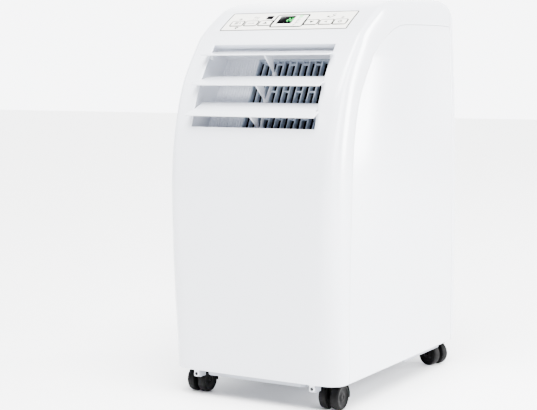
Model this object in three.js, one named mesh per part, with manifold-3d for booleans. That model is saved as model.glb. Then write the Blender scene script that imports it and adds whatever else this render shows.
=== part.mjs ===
// Portable air conditioner on four twin-wheel casters.
//
// Millimetres, +Z up, front towards -Y, +X to the viewer's right. The origin is on the floor,
// under the middle of the bounding box. Two shells are each ruled by a pair of curves: a profile
// in the middle plane and a seam on the side plane, joined by a quarter superellipse.
import * as THREE from 'three';
import { mergeVertices } from 'three/addons/utils/BufferGeometryUtils.js';
import Module from 'manifold-3d';

const wasm = await Module();
wasm.setup();

// ---- Driving dimensions ---------------------------------------------------------------------
const WIDTH = 300; // over the side panels
const DEPTH = 476; // front bulge to back
const HEIGHT = 635; // floor to the top
const FRONT = -DEPTH / 2;
const BACK = DEPTH / 2;
const SIDE = WIDTH / 2;
const WALL = 2.8; // moulded housing wall
const JOINT_LINE = 0.5; // visible gap between housing mouldings
const TOUCH = 0.3; // clearance between pieces that rest on or sit in each other
const SQUARENESS = 3; // exponent of the superellipse that turns the corners
const REAR_LIFT = 5.7; // the rear moulding stops this far above the other lower edges

const WHEEL_RADIUS = 20;
const WHEEL_WIDTH = 13;
const WEB_THICKNESS = 7;
const WHEEL_CLEARANCE = 0.5;
const TREAD_BEVEL = 3;
const HOOD_GAP = 0.7; // between the wheel's tread and the hood
const HOOD_WALL = 1.4;
const AXLE_RADIUS = 2.5;
const AXLE_RECESS = 1.5; // the axle's ends stop this far inside the wheels' faces
const BOSS_RADIUS = 7; // round the axle, on the web
const STEM_RADIUS = 5.5;
const STEM_REACH = 11; // above the hood, into the base
const TRAIL = 10; // axle ahead of the stem
const HOOD_CLEARANCE = 0.9; // under the housing's lower edge
const FLOOR_GAP = 2 * WHEEL_RADIUS + HOOD_GAP + HOOD_WALL + HOOD_CLEARANCE; // to that edge

const OUTLET_HALF_WIDTH = 108.9;
const OUTLET_FOOT_DROP = 206; // from the top down to the outlet's lower edge
const OUTLET_HEAD_DROP = 79;
const DUCT_HALF_WIDTH = 112;
const DUCT_DEPTH = 48; // from the outlet's chord to the finger guard
const GUARD_LEFT = -51; // the guard fills the duct's back from here to its right wall
const GUARD_DEPTH = 10;
const GUARD_BARS = 15;
const GUARD_BAR = 2.2;
const GUARD_RAIL = 3;
const GUARD_TIES = [62, 86]; // heights of the ties, in every other gap
const TIE_DEPTH = 4;
const DUCT_WALL = 2.5;
const DUCT_LIP_GAP = 1; // between the duct's lip and the housing's inner face

const LOUVRES = ['top', 'middle', 'bottom'];
const LOUVRE_OPEN = THREE.MathUtils.degToRad(47); // modelled this far open
const LOUVRE_THICKNESS = 2.2;
const LOUVRE_PROUD = 0.4; // closed blades lie this far outside the housing
const LOUVRE_GAP = 1; // between two closed blades
const HEAD_GAP = 2.5; // over the top blade, whose head swings through the opening
const LOUVRE_OVERLAP = 4.5; // the lower half laps over the outlet's side edges
const LAP_SHARE = 0.083; // of a blade's height, from its middle down to where the lap starts
const PIVOT_DEPTH = 6; // pivots behind the housing's outer face
const PIVOT_RADIUS = 2;
const PIVOT_CLEARANCE = 0.4;
const LUG_RADIUS = 3.4; // round a blade's pivots
const LUG_THICKNESS = 2;
const NARROW_BY = 1.5; // the upper half of a blade clears the outlet's sides
const ARM_X = -4;
const ARM_THICKNESS = 2.5;
const ARM_LENGTH = 30;
const ARM_ANGLE = THREE.MathUtils.degToRad(-57);
const ARM_EYE = 4;
const LINK_PIN = 1.8;
const LINK_EYE = 3.4;
const LINK_HALF_WIDTH = 3;

const PANEL_HALF_WIDTH = 114.5;
const PANEL_FOOT_DROP = 56.1;
const PANEL_HEAD_DROP = 26.7;
const PANEL_THICKNESS = 2.4;
const BUTTON = { width: 20.6, height: 12.6, proud: 0.7, flange: 1.2, clearance: 0.4 };
const BUTTON_ROW = 21; // up the panel, from its lower edge to the button centres
const BUTTON_XS = [-91, -64.7, -38.6, 44.6, 70.6, 95];
const BOARD = { depth: 9, thickness: 1.6, half: 104, foot: 6, head: 4, digits: 4.5 };

const FILTER = {
  thickness: 3, clearance: 1, slots: 9, slotShare: 0.55, mullion: 8, rim: 9, mesh: 1.5, trim: 4,
};
const UPPER_FILTER = { halfWidth: 112, foot: 400, head: 566 }; // heights above the floor
const LOWER_FILTER = { halfWidth: 108, foot: 96, head: 244 };

const EXHAUST = { x: 10, z: 315, bore: 60, wall: 3, flange: 66, mouth: 114 };
const UPPER_FAN = { y: FRONT + 253, z: 440, radius: 62, scroll: 70, growth: 30, width: 120 };
const LOWER_FAN = { y: BACK - 213, z: 180, radius: 55, scroll: 65, growth: 20, width: 104 };

const CASTERS = [
  { name: 'front_left', x: 30 - SIDE, y: FRONT + 70, turn: 0 },
  { name: 'front_right', x: SIDE - 30, y: FRONT + 70, turn: 0 },
  { name: 'rear_left', x: 36 - SIDE, y: BACK - 42, turn: -25 },
  { name: 'rear_right', x: SIDE - 36, y: BACK - 42, turn: 71 },
];

// ---- Finishes -------------------------------------------------------------------------------
const WHITE = { color: 0xe9eaee, roughness: 0.3, metalness: 0 };
const WARM_WHITE = { color: 0xf5f3ee, roughness: 0.35, metalness: 0 };
const PALE_GREY = { color: 0xc9ccd4, roughness: 0.5, metalness: 0 };
const GLOSS_BLACK = { color: 0x08090b, roughness: 0.1, metalness: 0 };
const BLACK = { color: 0x1b1b1e, roughness: 0.55, metalness: 0 };
const STEEL = { color: 0xb4b6ba, roughness: 0.35, metalness: 1 };
const ZINC = { color: 0x9c9ea2, roughness: 0.5, metalness: 1 };
const COPPER = { color: 0xb8704a, roughness: 0.35, metalness: 1 };
const ALUMINIUM = { color: 0xc3c6c9, roughness: 0.4, metalness: 1 };
const GREEN_BOARD = { color: 0x1f5b3a, roughness: 0.5, metalness: 0 };
const FILTER_BLUE = { color: 0x56636f, roughness: 0.8, metalness: 0 };
const RUBBER = { color: 0x202022, roughness: 0.8, metalness: 0 };

// ---- Solids ---------------------------------------------------------------------------------
function toSolid(geometry) {
  const bare = geometry.clone();
  bare.deleteAttribute('normal');
  bare.deleteAttribute('uv');
  const merged = mergeVertices(bare, 1e-4);
  const vertProperties = new Float32Array(merged.getAttribute('position').array);
  const triVerts = new Uint32Array(merged.index.array);
  return new wasm.Manifold(new wasm.Mesh({ numProp: 3, vertProperties, triVerts }));
}

function toGeometry(solid) {
  const mesh = solid.getMesh();
  const geometry = new THREE.BufferGeometry();
  geometry.setAttribute('position', new THREE.BufferAttribute(mesh.vertProperties, 3));
  geometry.setIndex(new THREE.BufferAttribute(mesh.triVerts, 1));
  geometry.computeVertexNormals();
  return geometry;
}

function join(...geometries) {
  return geometries.map(toSolid).reduce((sum, solid) => sum.add(solid));
}

function cut(base, ...tools) {
  return tools.map(toSolid).reduce((rest, tool) => rest.subtract(tool), base);
}

const unit = new THREE.Group();
unit.name = 'portable_air_conditioner';

function part(name, shape, finish, parent = unit) {
  const geometry = shape.isBufferGeometry ? shape : toGeometry(shape);
  const mesh = new THREE.Mesh(geometry, new THREE.MeshStandardMaterial(finish));
  mesh.name = name;
  parent.add(mesh);
  return mesh;
}

// ---- Plain bodies ---------------------------------------------------------------------------
function block([x0, x1], [y0, y1], [z0, z1]) {
  const box = new THREE.BoxGeometry(x1 - x0, y1 - y0, z1 - z0);
  return box.translate((x0 + x1) / 2, (y0 + y1) / 2, (z0 + z1) / 2);
}

function rodX(radius, [x0, x1], y, z, sides = 20) {
  const rod = new THREE.CylinderGeometry(radius, radius, x1 - x0, sides);
  return rod.rotateZ(Math.PI / 2).translate((x0 + x1) / 2, y, z);
}

function rodY(radius, [y0, y1], x, z, sides = 20) {
  const rod = new THREE.CylinderGeometry(radius, radius, y1 - y0, sides);
  return rod.translate(x, (y0 + y1) / 2, z);
}

function rodZ(radius, [z0, z1], x, y, sides = 20) {
  const rod = new THREE.CylinderGeometry(radius, radius, z1 - z0, sides);
  return rod.rotateX(Math.PI / 2).translate(x, y, (z0 + z1) / 2);
}

// A span along x on the right, or the same one on the left.
function mirrored([x0, x1], side) {
  return side > 0 ? [x0, x1] : [-x1, -x0];
}

function shapeOf(points) {
  return new THREE.Shape(points.map(([a, b]) => new THREE.Vector2(a, b)));
}

// An outline drawn in (y, z), extruded along x.
function prismX(points, [x0, x1]) {
  const prism = new THREE.ExtrudeGeometry(shapeOf(points), { depth: x1 - x0, bevelEnabled: false });
  const toX = new THREE.Matrix4().makeBasis(
    new THREE.Vector3(0, 1, 0), new THREE.Vector3(0, 0, 1), new THREE.Vector3(1, 0, 0));
  return prism.applyMatrix4(toX).translate(x0, 0, 0);
}

// An outline drawn in (x, y), extruded along z.
function prismZ(points, [z0, z1]) {
  const prism = new THREE.ExtrudeGeometry(shapeOf(points), { depth: z1 - z0, bevelEnabled: false });
  return prism.translate(0, 0, z0);
}

function tube(points, radius, quarterSides = 4, steps = 18) {
  const path = new THREE.CatmullRomCurve3(points.map((p) => new THREE.Vector3(...p)));
  const section = new THREE.Shape();
  section.absarc(0, 0, radius, 0, 2 * Math.PI);
  return new THREE.ExtrudeGeometry(section, { steps, extrudePath: path, curveSegments: quarterSides });
}

// Turned about the x axis from an outline in (x, radius), which closes on itself as a ring does,
// or starts and ends on the axis as a disc does.
function turnedX(outline, segments = 20) {
  const onAxis = outline[0][1] === 0;
  const points = (onAxis ? outline : [...outline, outline[0]]).map(([x, r]) => new THREE.Vector2(r, x));
  return new THREE.LatheGeometry(points, segments).rotateZ(-Math.PI / 2);
}

// ---- Housing surfaces -----------------------------------------------------------------------
const drop = (distance) => HEIGHT - distance;
const OUTLET_FOOT = drop(OUTLET_FOOT_DROP);
const lowFront = (share) => FLOOR_GAP + share * (OUTLET_FOOT - FLOOR_GAP);
const BELOW = 14; // the swept shells start below the edge and are trimmed level
const TOP_SEAM = 54; // from the back to the joint across the top
const FRONT_STEPS = 2; // stations to a row of the tables below
const REAR_STEPS = 1;

// Each row: profile y and z, seam y and z, width of the turned corner.
const FRONT_ROWS = [
  [FRONT + 19.5, FLOOR_GAP - BELOW, FRONT + 54, FLOOR_GAP - BELOW, 53],
  [FRONT + 9, lowFront(0.2), FRONT + 54, lowFront(0.2), 46],
  [FRONT + 2, lowFront(0.43), FRONT + 54.5, lowFront(0.43), 39],
  [FRONT, lowFront(0.665), FRONT + 57.6, lowFront(0.66), 32],
  [FRONT + 3.3, lowFront(0.84), FRONT + 60.5, lowFront(0.83), 26],
  [FRONT + 15.7, OUTLET_FOOT, FRONT + 65.7, drop(222.5), 21],
  [FRONT + 41.4, drop(138.4), FRONT + 82, drop(163), 15],
  [FRONT + 82.7, drop(78.9), FRONT + 119.5, drop(107), 13],
  [FRONT + 105.7, drop(56.1), FRONT + 132.6, drop(92.2), 13],
  [FRONT + 152.7, drop(26.7), FRONT + 174.7, drop(65.8), 13],
  [FRONT + 178, drop(15.8), FRONT + 194.8, drop(57), 13],
  [FRONT + 206, drop(9.6), FRONT + 215, drop(50.6), 14],
  [FRONT + 236, drop(6.6), FRONT + 239, drop(46.6), 15],
  [BACK - 148, drop(2.2), BACK - 148, drop(44.4), 16],
  [BACK - 84, drop(0), BACK - 84, drop(44), 17],
  [BACK - TOP_SEAM, drop(3.6), BACK - TOP_SEAM, drop(44.6), 18],
];
const REAR_ROWS = [
  [BACK - TOP_SEAM + JOINT_LINE, drop(3.8), BACK - 53.4, drop(44.8), 18],
  [BACK - 43, drop(8), BACK - 53.1, drop(45.6), 18],
  [BACK - 33, drop(14.4), BACK - 52.7, drop(46.8), 19],
  [BACK - 27.5, drop(24), BACK - 52.3, drop(48.4), 20],
  [BACK - 25, drop(38), BACK - 51.9, drop(51), 21],
  [BACK - 21.5, drop(67), BACK - 51, drop(67), 22],
  [BACK - 16, drop(105), BACK - 48, drop(105), 24],
  [BACK - 9, drop(155), BACK - 42, drop(155), 26],
  [BACK - 4.6, drop(205), BACK - 37.5, drop(205), 28],
  [BACK - 1.6, drop(290), BACK - 32, drop(290), 28],
  [BACK, drop(382), BACK - 31, drop(382), 28],
  [BACK, FLOOR_GAP + 60, BACK - 30, FLOOR_GAP + 60, 28],
  [BACK, FLOOR_GAP - BELOW, BACK - 30, FLOOR_GAP - BELOW, 28],
];

function surfaceOf(rows) {
  const curve = (a, b) => new THREE.SplineCurve(rows.map((row) => new THREE.Vector2(row[a], row[b])));
  const roll = new THREE.SplineCurve(rows.map((row, i) => new THREE.Vector2(i, row[4])));
  return { profile: curve(0, 1), seam: curve(2, 3), roll, rows: rows.length };
}

// Columns across the shell: the angle along the quarter superellipse, on the left or the right.
function columnsOf(turns) {
  const angles = Array.from({ length: turns + 1 }, (_, i) => (i / turns) * (Math.PI / 2));
  const right = angles.map((angle) => ({ side: 1, angle }));
  const left = angles.map((angle) => ({ side: -1, angle })).reverse();
  return [...left, ...right];
}

function surfacePoint(surface, t, { side, angle }) {
  const a = surface.profile.getPoint(t);
  const b = surface.seam.getPoint(t);
  const roll = surface.roll.getPoint(t).y;
  const across = Math.sin(angle) ** (2 / SQUARENESS);
  const deep = 1 - Math.cos(angle) ** (2 / SQUARENESS);
  const x = side * (SIDE - roll + roll * across);
  return new THREE.Vector3(x, a.x + (b.x - a.x) * deep, a.y + (b.y - a.y) * deep);
}

function surfaceGrid(surface, stations, columns, inward) {
  const rows = stations.map((t) => columns.map((column) => surfacePoint(surface, t, column)));
  const near = (list, i) => list[Math.min(Math.max(i, 0), list.length - 1)];
  return rows.map((row, i) => row.map((point, j) => {
    const along = near(rows, i + 1)[j].clone().sub(near(rows, i - 1)[j]);
    const across = near(row, j + 1).clone().sub(near(row, j - 1));
    const normal = across.cross(along).normalize();
    return point.clone().addScaledVector(normal, -inward);
  }));
}

// A wall between the outer surface and the same surface moved inwards, as one closed body.
function thickShell(surface, wall, stepsPerRow, turns) {
  const count = (surface.rows - 1) * stepsPerRow;
  const stations = Array.from({ length: count + 1 }, (_, i) => i / count);
  const columns = columnsOf(turns);
  const outer = surfaceGrid(surface, stations, columns, 0);
  const inner = surfaceGrid(surface, stations, columns, wall);
  const nu = outer.length;
  const nv = columns.length;
  const positions = [...outer.flat(), ...inner.flat()].flatMap((p) => [p.x, p.y, p.z]);
  const at = (layer, i, j) => layer * nu * nv + i * nv + j;
  const index = [];
  const quad = (a, b, c, d) => index.push(a, b, c, a, c, d);
  for (let i = 0; i < nu - 1; i += 1) {
    for (let j = 0; j < nv - 1; j += 1) {
      quad(at(0, i, j), at(0, i, j + 1), at(0, i + 1, j + 1), at(0, i + 1, j));
      quad(at(1, i, j), at(1, i + 1, j), at(1, i + 1, j + 1), at(1, i, j + 1));
    }
    quad(at(0, i, 0), at(0, i + 1, 0), at(1, i + 1, 0), at(1, i, 0));
    quad(at(0, i + 1, nv - 1), at(0, i, nv - 1), at(1, i, nv - 1), at(1, i + 1, nv - 1));
  }
  for (let j = 0; j < nv - 1; j += 1) {
    quad(at(0, 0, j + 1), at(0, 0, j), at(1, 0, j), at(1, 0, j + 1));
    quad(at(0, nu - 1, j), at(0, nu - 1, j + 1), at(1, nu - 1, j + 1), at(1, nu - 1, j));
  }
  const geometry = new THREE.BufferGeometry();
  geometry.setAttribute('position', new THREE.Float32BufferAttribute(positions, 3));
  geometry.setIndex(index);
  return geometry;
}

const frontSurface = surfaceOf(FRONT_ROWS);
const rearSurface = surfaceOf(REAR_ROWS);

// The parameter where a profile crosses a height, on a stretch that only rises or only falls.
function paramAtHeight(curve, z, [low, high]) {
  const rising = curve.getPoint(high).y > curve.getPoint(low).y;
  for (let i = 0; i < 40; i += 1) {
    const middle = (low + high) / 2;
    const above = curve.getPoint(middle).y > z;
    if (above === rising) high = middle;
    else low = middle;
  }
  return (low + high) / 2;
}

const FRONT_FACE = [0, 10 / (FRONT_ROWS.length - 1)];
const REAR_FACE = [4 / (REAR_ROWS.length - 1), 1];
const frontAt = (z) => paramAtHeight(frontSurface.profile, z, FRONT_FACE);
const rearAt = (z) => paramAtHeight(rearSurface.profile, z, REAR_FACE);

// A point moved outwards (or inwards, when negative) from a profile.
function offPoint(curve, t, outward) {
  const point = curve.getPoint(t);
  const tangent = curve.getTangent(t);
  return [point.x - tangent.y * outward, point.y + tangent.x * outward];
}

// The band between two offsets of a profile, as an outline in (y, z).
function band(curve, [t0, t1], inner, outer, steps) {
  const along = Array.from({ length: steps + 1 }, (_, i) => t0 + ((t1 - t0) * i) / steps);
  const outside = along.map((t) => offPoint(curve, t, outer));
  const inside = along.map((t) => offPoint(curve, t, inner)).reverse();
  return [...outside, ...inside];
}

// A chord across a profile, with its outward normal, for what is built square to it.
function chordOf(curve, t0, t1) {
  const foot = curve.getPoint(t0);
  const head = curve.getPoint(t1);
  const length = foot.distanceTo(head);
  const along = head.clone().sub(foot).divideScalar(length);
  const out = new THREE.Vector2(-along.y, along.x);
  const at = (w, outward) => [
    foot.x + along.x * w + out.x * outward,
    foot.y + along.y * w + out.y * outward,
  ];
  return { foot, head, length, along, out, at };
}

// A box in a chord's frame: across, up the chord, and outwards.
function chordBox(chord, [x0, x1], [w0, w1], [o0, o1]) {
  const corners = [chord.at(w0, o0), chord.at(w1, o0), chord.at(w1, o1), chord.at(w0, o1)];
  const flip = chord.along.x * chord.out.y - chord.along.y * chord.out.x < 0;
  return prismX(flip ? corners.reverse() : corners, [x0, x1]);
}

const outlet = chordOf(frontSurface.profile, frontAt(OUTLET_FOOT), frontAt(drop(OUTLET_HEAD_DROP)));
const PANEL_SPAN = [frontAt(drop(PANEL_FOOT_DROP)), frontAt(drop(PANEL_HEAD_DROP))];
const panel = chordOf(frontSurface.profile, ...PANEL_SPAN);

// ---- Housing --------------------------------------------------------------------------------
const TAB = { x: 104.2, radius: 4.6, hole: 1.9, drop: 6, thickness: 2.4, overlap: 4 };
const SCREW = { head: 2.85, headLength: 1.6, length: 12 };
const TAB_FRONT = FRONT + 19.2;
const tabZ = FLOOR_GAP - TAB.drop;

function screwTab(x) {
  const ring = rodY(TAB.radius, [TAB_FRONT, TAB_FRONT + TAB.thickness], x, tabZ, 16);
  const neck = block([x - TAB.radius, x + TAB.radius], [TAB_FRONT, TAB_FRONT + TAB.thickness],
    [tabZ, FLOOR_GAP + TAB.overlap]);
  return join(ring, neck);
}

function frontHousing() {
  const wide = [-SIDE - 1, SIDE + 1];
  const through = [-30, 30];
  let shell = cut(
    toSolid(thickShell(frontSurface, WALL, FRONT_STEPS, 5)),
    block(wide, [FRONT - 1, BACK], [0, FLOOR_GAP]),
    block(wide, [BACK - TOP_SEAM, BACK], [0, HEIGHT + 1]),
    chordBox(outlet, [-OUTLET_HALF_WIDTH, OUTLET_HALF_WIDTH], [0, outlet.length], through),
    chordBox(panel, [-PANEL_HALF_WIDTH - TOUCH, PANEL_HALF_WIDTH + TOUCH],
      [-TOUCH, panel.length + TOUCH], through),
  );
  for (const x of [-TAB.x, TAB.x]) {
    const hole = rodY(TAB.hole, [TAB_FRONT - 1, TAB_FRONT + TAB.thickness + 1], x, tabZ, 12);
    shell = shell.add(cut(screwTab(x), hole));
  }
  return shell;
}

function screw(x) {
  const seat = TAB_FRONT - TOUCH;
  const head = rodY(SCREW.head, [seat - SCREW.headLength, seat], x, tabZ, 12);
  const shank = rodY(TAB.hole - TOUCH, [seat - SCREW.headLength / 2, TAB_FRONT + SCREW.length], x, tabZ, 10);
  return join(head, shank);
}

// A seam's points at the shell's own stations, so that both pieces turn at the same places.
function seamStations(surface, stepsPerRow, firstRow) {
  const count = (surface.rows - 1) * stepsPerRow;
  const first = firstRow * stepsPerRow;
  return Array.from({ length: count - first + 1 }, (_, i) => {
    const point = surface.seam.getPoint((first + i) / count);
    return [point.x, point.y];
  });
}

function sidePanel(side) {
  const low = seamStations(frontSurface, FRONT_STEPS, 0);
  const edge = [[low[0][0], FLOOR_GAP], ...low.filter(([, z]) => z > FLOOR_GAP + 1)];
  const rise = edge.map(([y, z], i, all) => {
    const [y0, z0] = all[Math.max(i - 1, 0)];
    const [y1, z1] = all[Math.min(i + 1, all.length - 1)];
    const length = Math.hypot(y1 - y0, z1 - z0);
    return [y + ((z1 - z0) / length) * JOINT_LINE, z - ((y1 - y0) / length) * JOINT_LINE];
  });
  rise[0][1] = FLOOR_GAP;
  rise[rise.length - 1][0] = BACK - TOP_SEAM - JOINT_LINE;
  const fall = seamStations(rearSurface, REAR_STEPS, 4)
    .map(([y, z]) => [y - JOINT_LINE, z])
    .filter(([, z]) => z > FLOOR_GAP + 1);
  const outline = [...rise, ...fall, [fall[fall.length - 1][0], FLOOR_GAP]];
  const x = side > 0 ? [SIDE - WALL, SIDE] : [-SIDE, -SIDE + WALL];
  return prismX(outline.reverse(), x);
}

function filterSpan({ foot, head }) {
  return [rearAt(head), rearAt(foot)];
}

function rearWindow(filter) {
  const [t0, t1] = filterSpan(filter);
  const upper = rearSurface.profile.getPoint(t0).y + FILTER.clearance;
  const lower = rearSurface.profile.getPoint(t1).y - FILTER.clearance;
  const half = filter.halfWidth + FILTER.clearance;
  return block([-half, half], [BACK - 60, BACK + 1], [lower, upper]);
}

const DRAIN = { x: -70, z: FLOOR_GAP + 34, radius: 8, grip: 4 };
const GLAND = { x: 118, z: 262, radius: 8, bore: 4, nut: 12 };

function rearHousing() {
  const wide = [-SIDE - 1, SIDE + 1];
  const through = [BACK - 60, BACK + 1];
  return cut(
    toSolid(thickShell(rearSurface, WALL, REAR_STEPS, 5)),
    block(wide, [0, BACK + 1], [0, FLOOR_GAP + REAR_LIFT]),
    block(wide, [0, BACK - TOP_SEAM + JOINT_LINE], [0, HEIGHT + 1]),
    rearWindow(UPPER_FILTER),
    rearWindow(LOWER_FILTER),
    rodY(EXHAUST.bore + EXHAUST.wall + TOUCH, through, EXHAUST.x, EXHAUST.z, 32),
    rodY(DRAIN.radius + TOUCH, through, DRAIN.x, DRAIN.z, 16),
    rodY(GLAND.radius + TOUCH, through, GLAND.x, GLAND.z, 16),
  );
}

// ---- Base -----------------------------------------------------------------------------------
const PAN = { wall: 3, floor: 3, rim: 22, clearance: 1.5, keel: 6.5 };
const KEEL = { setBack: 24, depth: 30, half: 88, chamfer: 6, rail: 14, railSpan: [30, 170] };
const LUG = { half: 6, depth: 18, drop: 5 };
const SOCKET = { wall: 4, height: 12, depth: 10 };
const PAN_FLOOR = FLOOR_GAP + TOUCH;

const NEAR = 0.005; // step along a surface that gives its slope

// The plan outline inside both shells at the lower edge, moved in by an inset.
function planOutline(inset) {
  const columns = columnsOf(5);
  const ring = (surface, t) => {
    const grid = surfaceGrid(surface, [t - NEAR, t, t + NEAR], columns, inset);
    return grid[1].map((p) => [p.x, p.y]);
  };
  const front = ring(frontSurface, frontAt(FLOOR_GAP));
  const rear = ring(rearSurface, rearAt(FLOOR_GAP)).reverse();
  return [...front, ...rear];
}

function keelFront(heights) {
  const y0 = FRONT + KEEL.setBack;
  const { half, chamfer } = KEEL;
  const plan = [[-half, y0 + chamfer], [-half + chamfer, y0], [half - chamfer, y0],
    [half, y0 + chamfer], [half, y0 + KEEL.depth], [-half, y0 + KEEL.depth]];
  return prismZ(plan, heights);
}

function basePan() {
  const keel = [FLOOR_GAP - PAN.keel, PAN_FLOOR + 1];
  const edge = SIDE - WALL - PAN.clearance - PAN.wall;
  const outside = prismZ(planOutline(WALL + PAN.clearance), [PAN_FLOOR, PAN_FLOOR + PAN.rim]);
  const inside = prismZ(planOutline(WALL + PAN.clearance + PAN.wall),
    [PAN_FLOOR + PAN.floor, PAN_FLOOR + PAN.rim + 1]);
  const lugs = [-TAB.x, TAB.x].map((x) => block([x - LUG.half, x + LUG.half],
    [TAB_FRONT + TAB.thickness + TOUCH, TAB_FRONT + LUG.depth], [tabZ - LUG.drop, PAN_FLOOR + 1]));
  const pan = cut(toSolid(outside), inside).add(join(
    keelFront(keel),
    block([-edge, -edge + KEEL.rail], KEEL.railSpan, keel),
    block([edge - KEEL.rail, edge], KEEL.railSpan, keel),
    ...lugs,
  ));
  const boss = [PAN_FLOOR, PAN_FLOOR + SOCKET.height];
  const bosses = CASTERS.map(({ x, y }) => rodZ(STEM_RADIUS + SOCKET.wall, boss, x, y, 12));
  const bore = [0, PAN_FLOOR + SOCKET.depth];
  const sockets = CASTERS.map(({ x, y }) => rodZ(STEM_RADIUS + TOUCH, bore, x, y, 12));
  const pilot = [TAB_FRONT, TAB_FRONT + SCREW.length + 1];
  const pilots = [-TAB.x, TAB.x].map((x) => rodY(TAB.hole, pilot, x, tabZ, 12));
  return cut(pan.add(join(...bosses)), ...sockets, ...pilots);
}

// ---- Casters --------------------------------------------------------------------------------
const HOOD_OUTER = WHEEL_RADIUS + HOOD_GAP + HOOD_WALL;
const TWIN_HALF = WEB_THICKNESS / 2 + WHEEL_CLEARANCE + WHEEL_WIDTH;

function sector(inner, outer, from, to, steps) {
  const angle = (i) => THREE.MathUtils.degToRad(from + ((to - from) * i) / steps);
  const arc = (r) => Array.from({ length: steps + 1 }, (_, i) =>
    [r * Math.cos(angle(i)), r * Math.sin(angle(i))]);
  return inner > 0 ? [...arc(outer), ...arc(inner).reverse()] : [[0, 0], ...arc(outer)];
}

// In the caster's own frame: axle along x through the origin, stem on the +y side.
function casterBody() {
  const half = WEB_THICKNESS / 2;
  const past = TWIN_HALF + 1;
  const web = prismX(sector(0, HOOD_OUTER - HOOD_WALL / 2, -25, 130, 6), [-half, half]);
  const boss = rodX(BOSS_RADIUS, [-half, half], 0, 0, 12);
  const hood = prismX(sector(WHEEL_RADIUS + HOOD_GAP, HOOD_OUTER, -12, 125, 8), [-TWIN_HALF, TWIN_HALF]);
  const stem = rodZ(STEM_RADIUS, [WHEEL_RADIUS * 0.6, HOOD_OUTER + STEM_REACH], 0, TRAIL, 12);
  const clear = [[-past, -half], [half, past]]
    .map((span) => rodX(WHEEL_RADIUS + HOOD_GAP, span, 0, 0, 18));
  return cut(join(web, boss, hood, stem), ...clear, rodX(AXLE_RADIUS + TOUCH, [-past, past], 0, 0, 10));
}

function casterWheel(side) {
  const x0 = WEB_THICKNESS / 2 + WHEEL_CLEARANCE;
  const x1 = x0 + WHEEL_WIDTH;
  const outline = [
    [x0, AXLE_RADIUS + TOUCH], [x1 - 1, AXLE_RADIUS + TOUCH], [x1 - 2, BOSS_RADIUS],
    [x1, WHEEL_RADIUS - TREAD_BEVEL], [x1 - TREAD_BEVEL, WHEEL_RADIUS], [x0, WHEEL_RADIUS],
  ];
  if (side < 0) return turnedX(outline.map(([x, r]) => [-x, r]), 18);
  return turnedX(outline.reverse(), 18);
}

function addCaster({ name, x, y, turn }) {
  const frame = new THREE.Group();
  frame.position.set(x, y, WHEEL_RADIUS);
  frame.rotation.z = THREE.MathUtils.degToRad(turn);
  unit.add(frame);
  const axleFrame = new THREE.Group();
  axleFrame.position.y = -TRAIL;
  frame.add(axleFrame);
  const reach = TWIN_HALF - AXLE_RECESS;
  part(`caster_${name}_body`, casterBody(), BLACK, axleFrame);
  part(`caster_${name}_axle`, rodX(AXLE_RADIUS, [-reach, reach], 0, 0, 10), STEEL, axleFrame);
  part(`caster_${name}_wheel_left`, casterWheel(-1), BLACK, axleFrame);
  part(`caster_${name}_wheel_right`, casterWheel(1), BLACK, axleFrame);
}

// ---- Outlet ---------------------------------------------------------------------------------
const DUCT_END = DUCT_DEPTH + GUARD_DEPTH + 2;
const PAST_BULGE = 20; // outwards from the outlet's chord, clear of the curved face

function ductOutline(extra, front, back) {
  const curve = frontSurface.profile;
  const t0 = frontAt(OUTLET_FOOT);
  const t1 = frontAt(drop(OUTLET_HEAD_DROP));
  const lip = Array.from({ length: 7 }, (_, i) => offPoint(curve, t0 + ((t1 - t0) * i) / 6, front));
  lip[0] = outlet.at(-extra, front - extra / 4);
  lip[6] = outlet.at(outlet.length + extra, front - extra / 4);
  return [...lip, outlet.at(outlet.length + extra, -back), outlet.at(-extra, -back)].reverse();
}

function outletDuct() {
  const front = -WALL - DUCT_LIP_GAP;
  const half = DUCT_HALF_WIDTH;
  const wide = [-half - DUCT_WALL, half + DUCT_WALL];
  const tall = [0, outlet.length];
  const outside = prismX(ductOutline(DUCT_WALL, front, DUCT_END), wide);
  const mouth = chordBox(outlet, [-half, half], tall, [-DUCT_DEPTH, PAST_BULGE]);
  const throat = chordBox(outlet, [GUARD_LEFT, half], tall, [-DUCT_END - 1, -DUCT_DEPTH + 1]);
  const relief = chordBox(outlet, [wide[0] - 1, GUARD_LEFT - DUCT_WALL],
    [-DUCT_WALL - 1, outlet.length + DUCT_WALL + 1], [-DUCT_END - 1, -DUCT_DEPTH - DUCT_WALL]);
  const pivots = LOUVRES.map((_, i) => {
    const [y, z] = louvrePivot(i);
    return rodX(PIVOT_RADIUS + PIVOT_CLEARANCE, [-half - 5, half + 5], y, z, 10);
  });
  return cut(toSolid(outside), mouth, throat, relief, ...pivots);
}

function outletGuard() {
  const x0 = GUARD_LEFT + TOUCH;
  const x1 = DUCT_HALF_WIDTH - TOUCH;
  const span = [-DUCT_DEPTH - GUARD_DEPTH, -DUCT_DEPTH];
  const long = [TOUCH, outlet.length - TOUCH];
  const pitch = (x1 - x0 - GUARD_BAR) / (GUARD_BARS - 1);
  const pieces = [[long[0], long[0] + GUARD_RAIL], [long[1] - GUARD_RAIL, long[1]]]
    .map((w) => chordBox(outlet, [x0, x1], w, span));
  for (let i = 0; i < GUARD_BARS; i += 1) {
    const x = x0 + i * pitch;
    pieces.push(chordBox(outlet, [x, x + GUARD_BAR], long, span));
    const tie = i % 2 === 0 ? GUARD_TIES[0] : GUARD_TIES[1];
    if (i < GUARD_BARS - 1) {
      const depths = [span[1] - 1 - TIE_DEPTH, span[1] - 1];
      pieces.push(chordBox(outlet, [x + 1, x + pitch + 1], [tie, tie + GUARD_BAR], depths));
    }
  }
  return join(...pieces);
}

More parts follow.
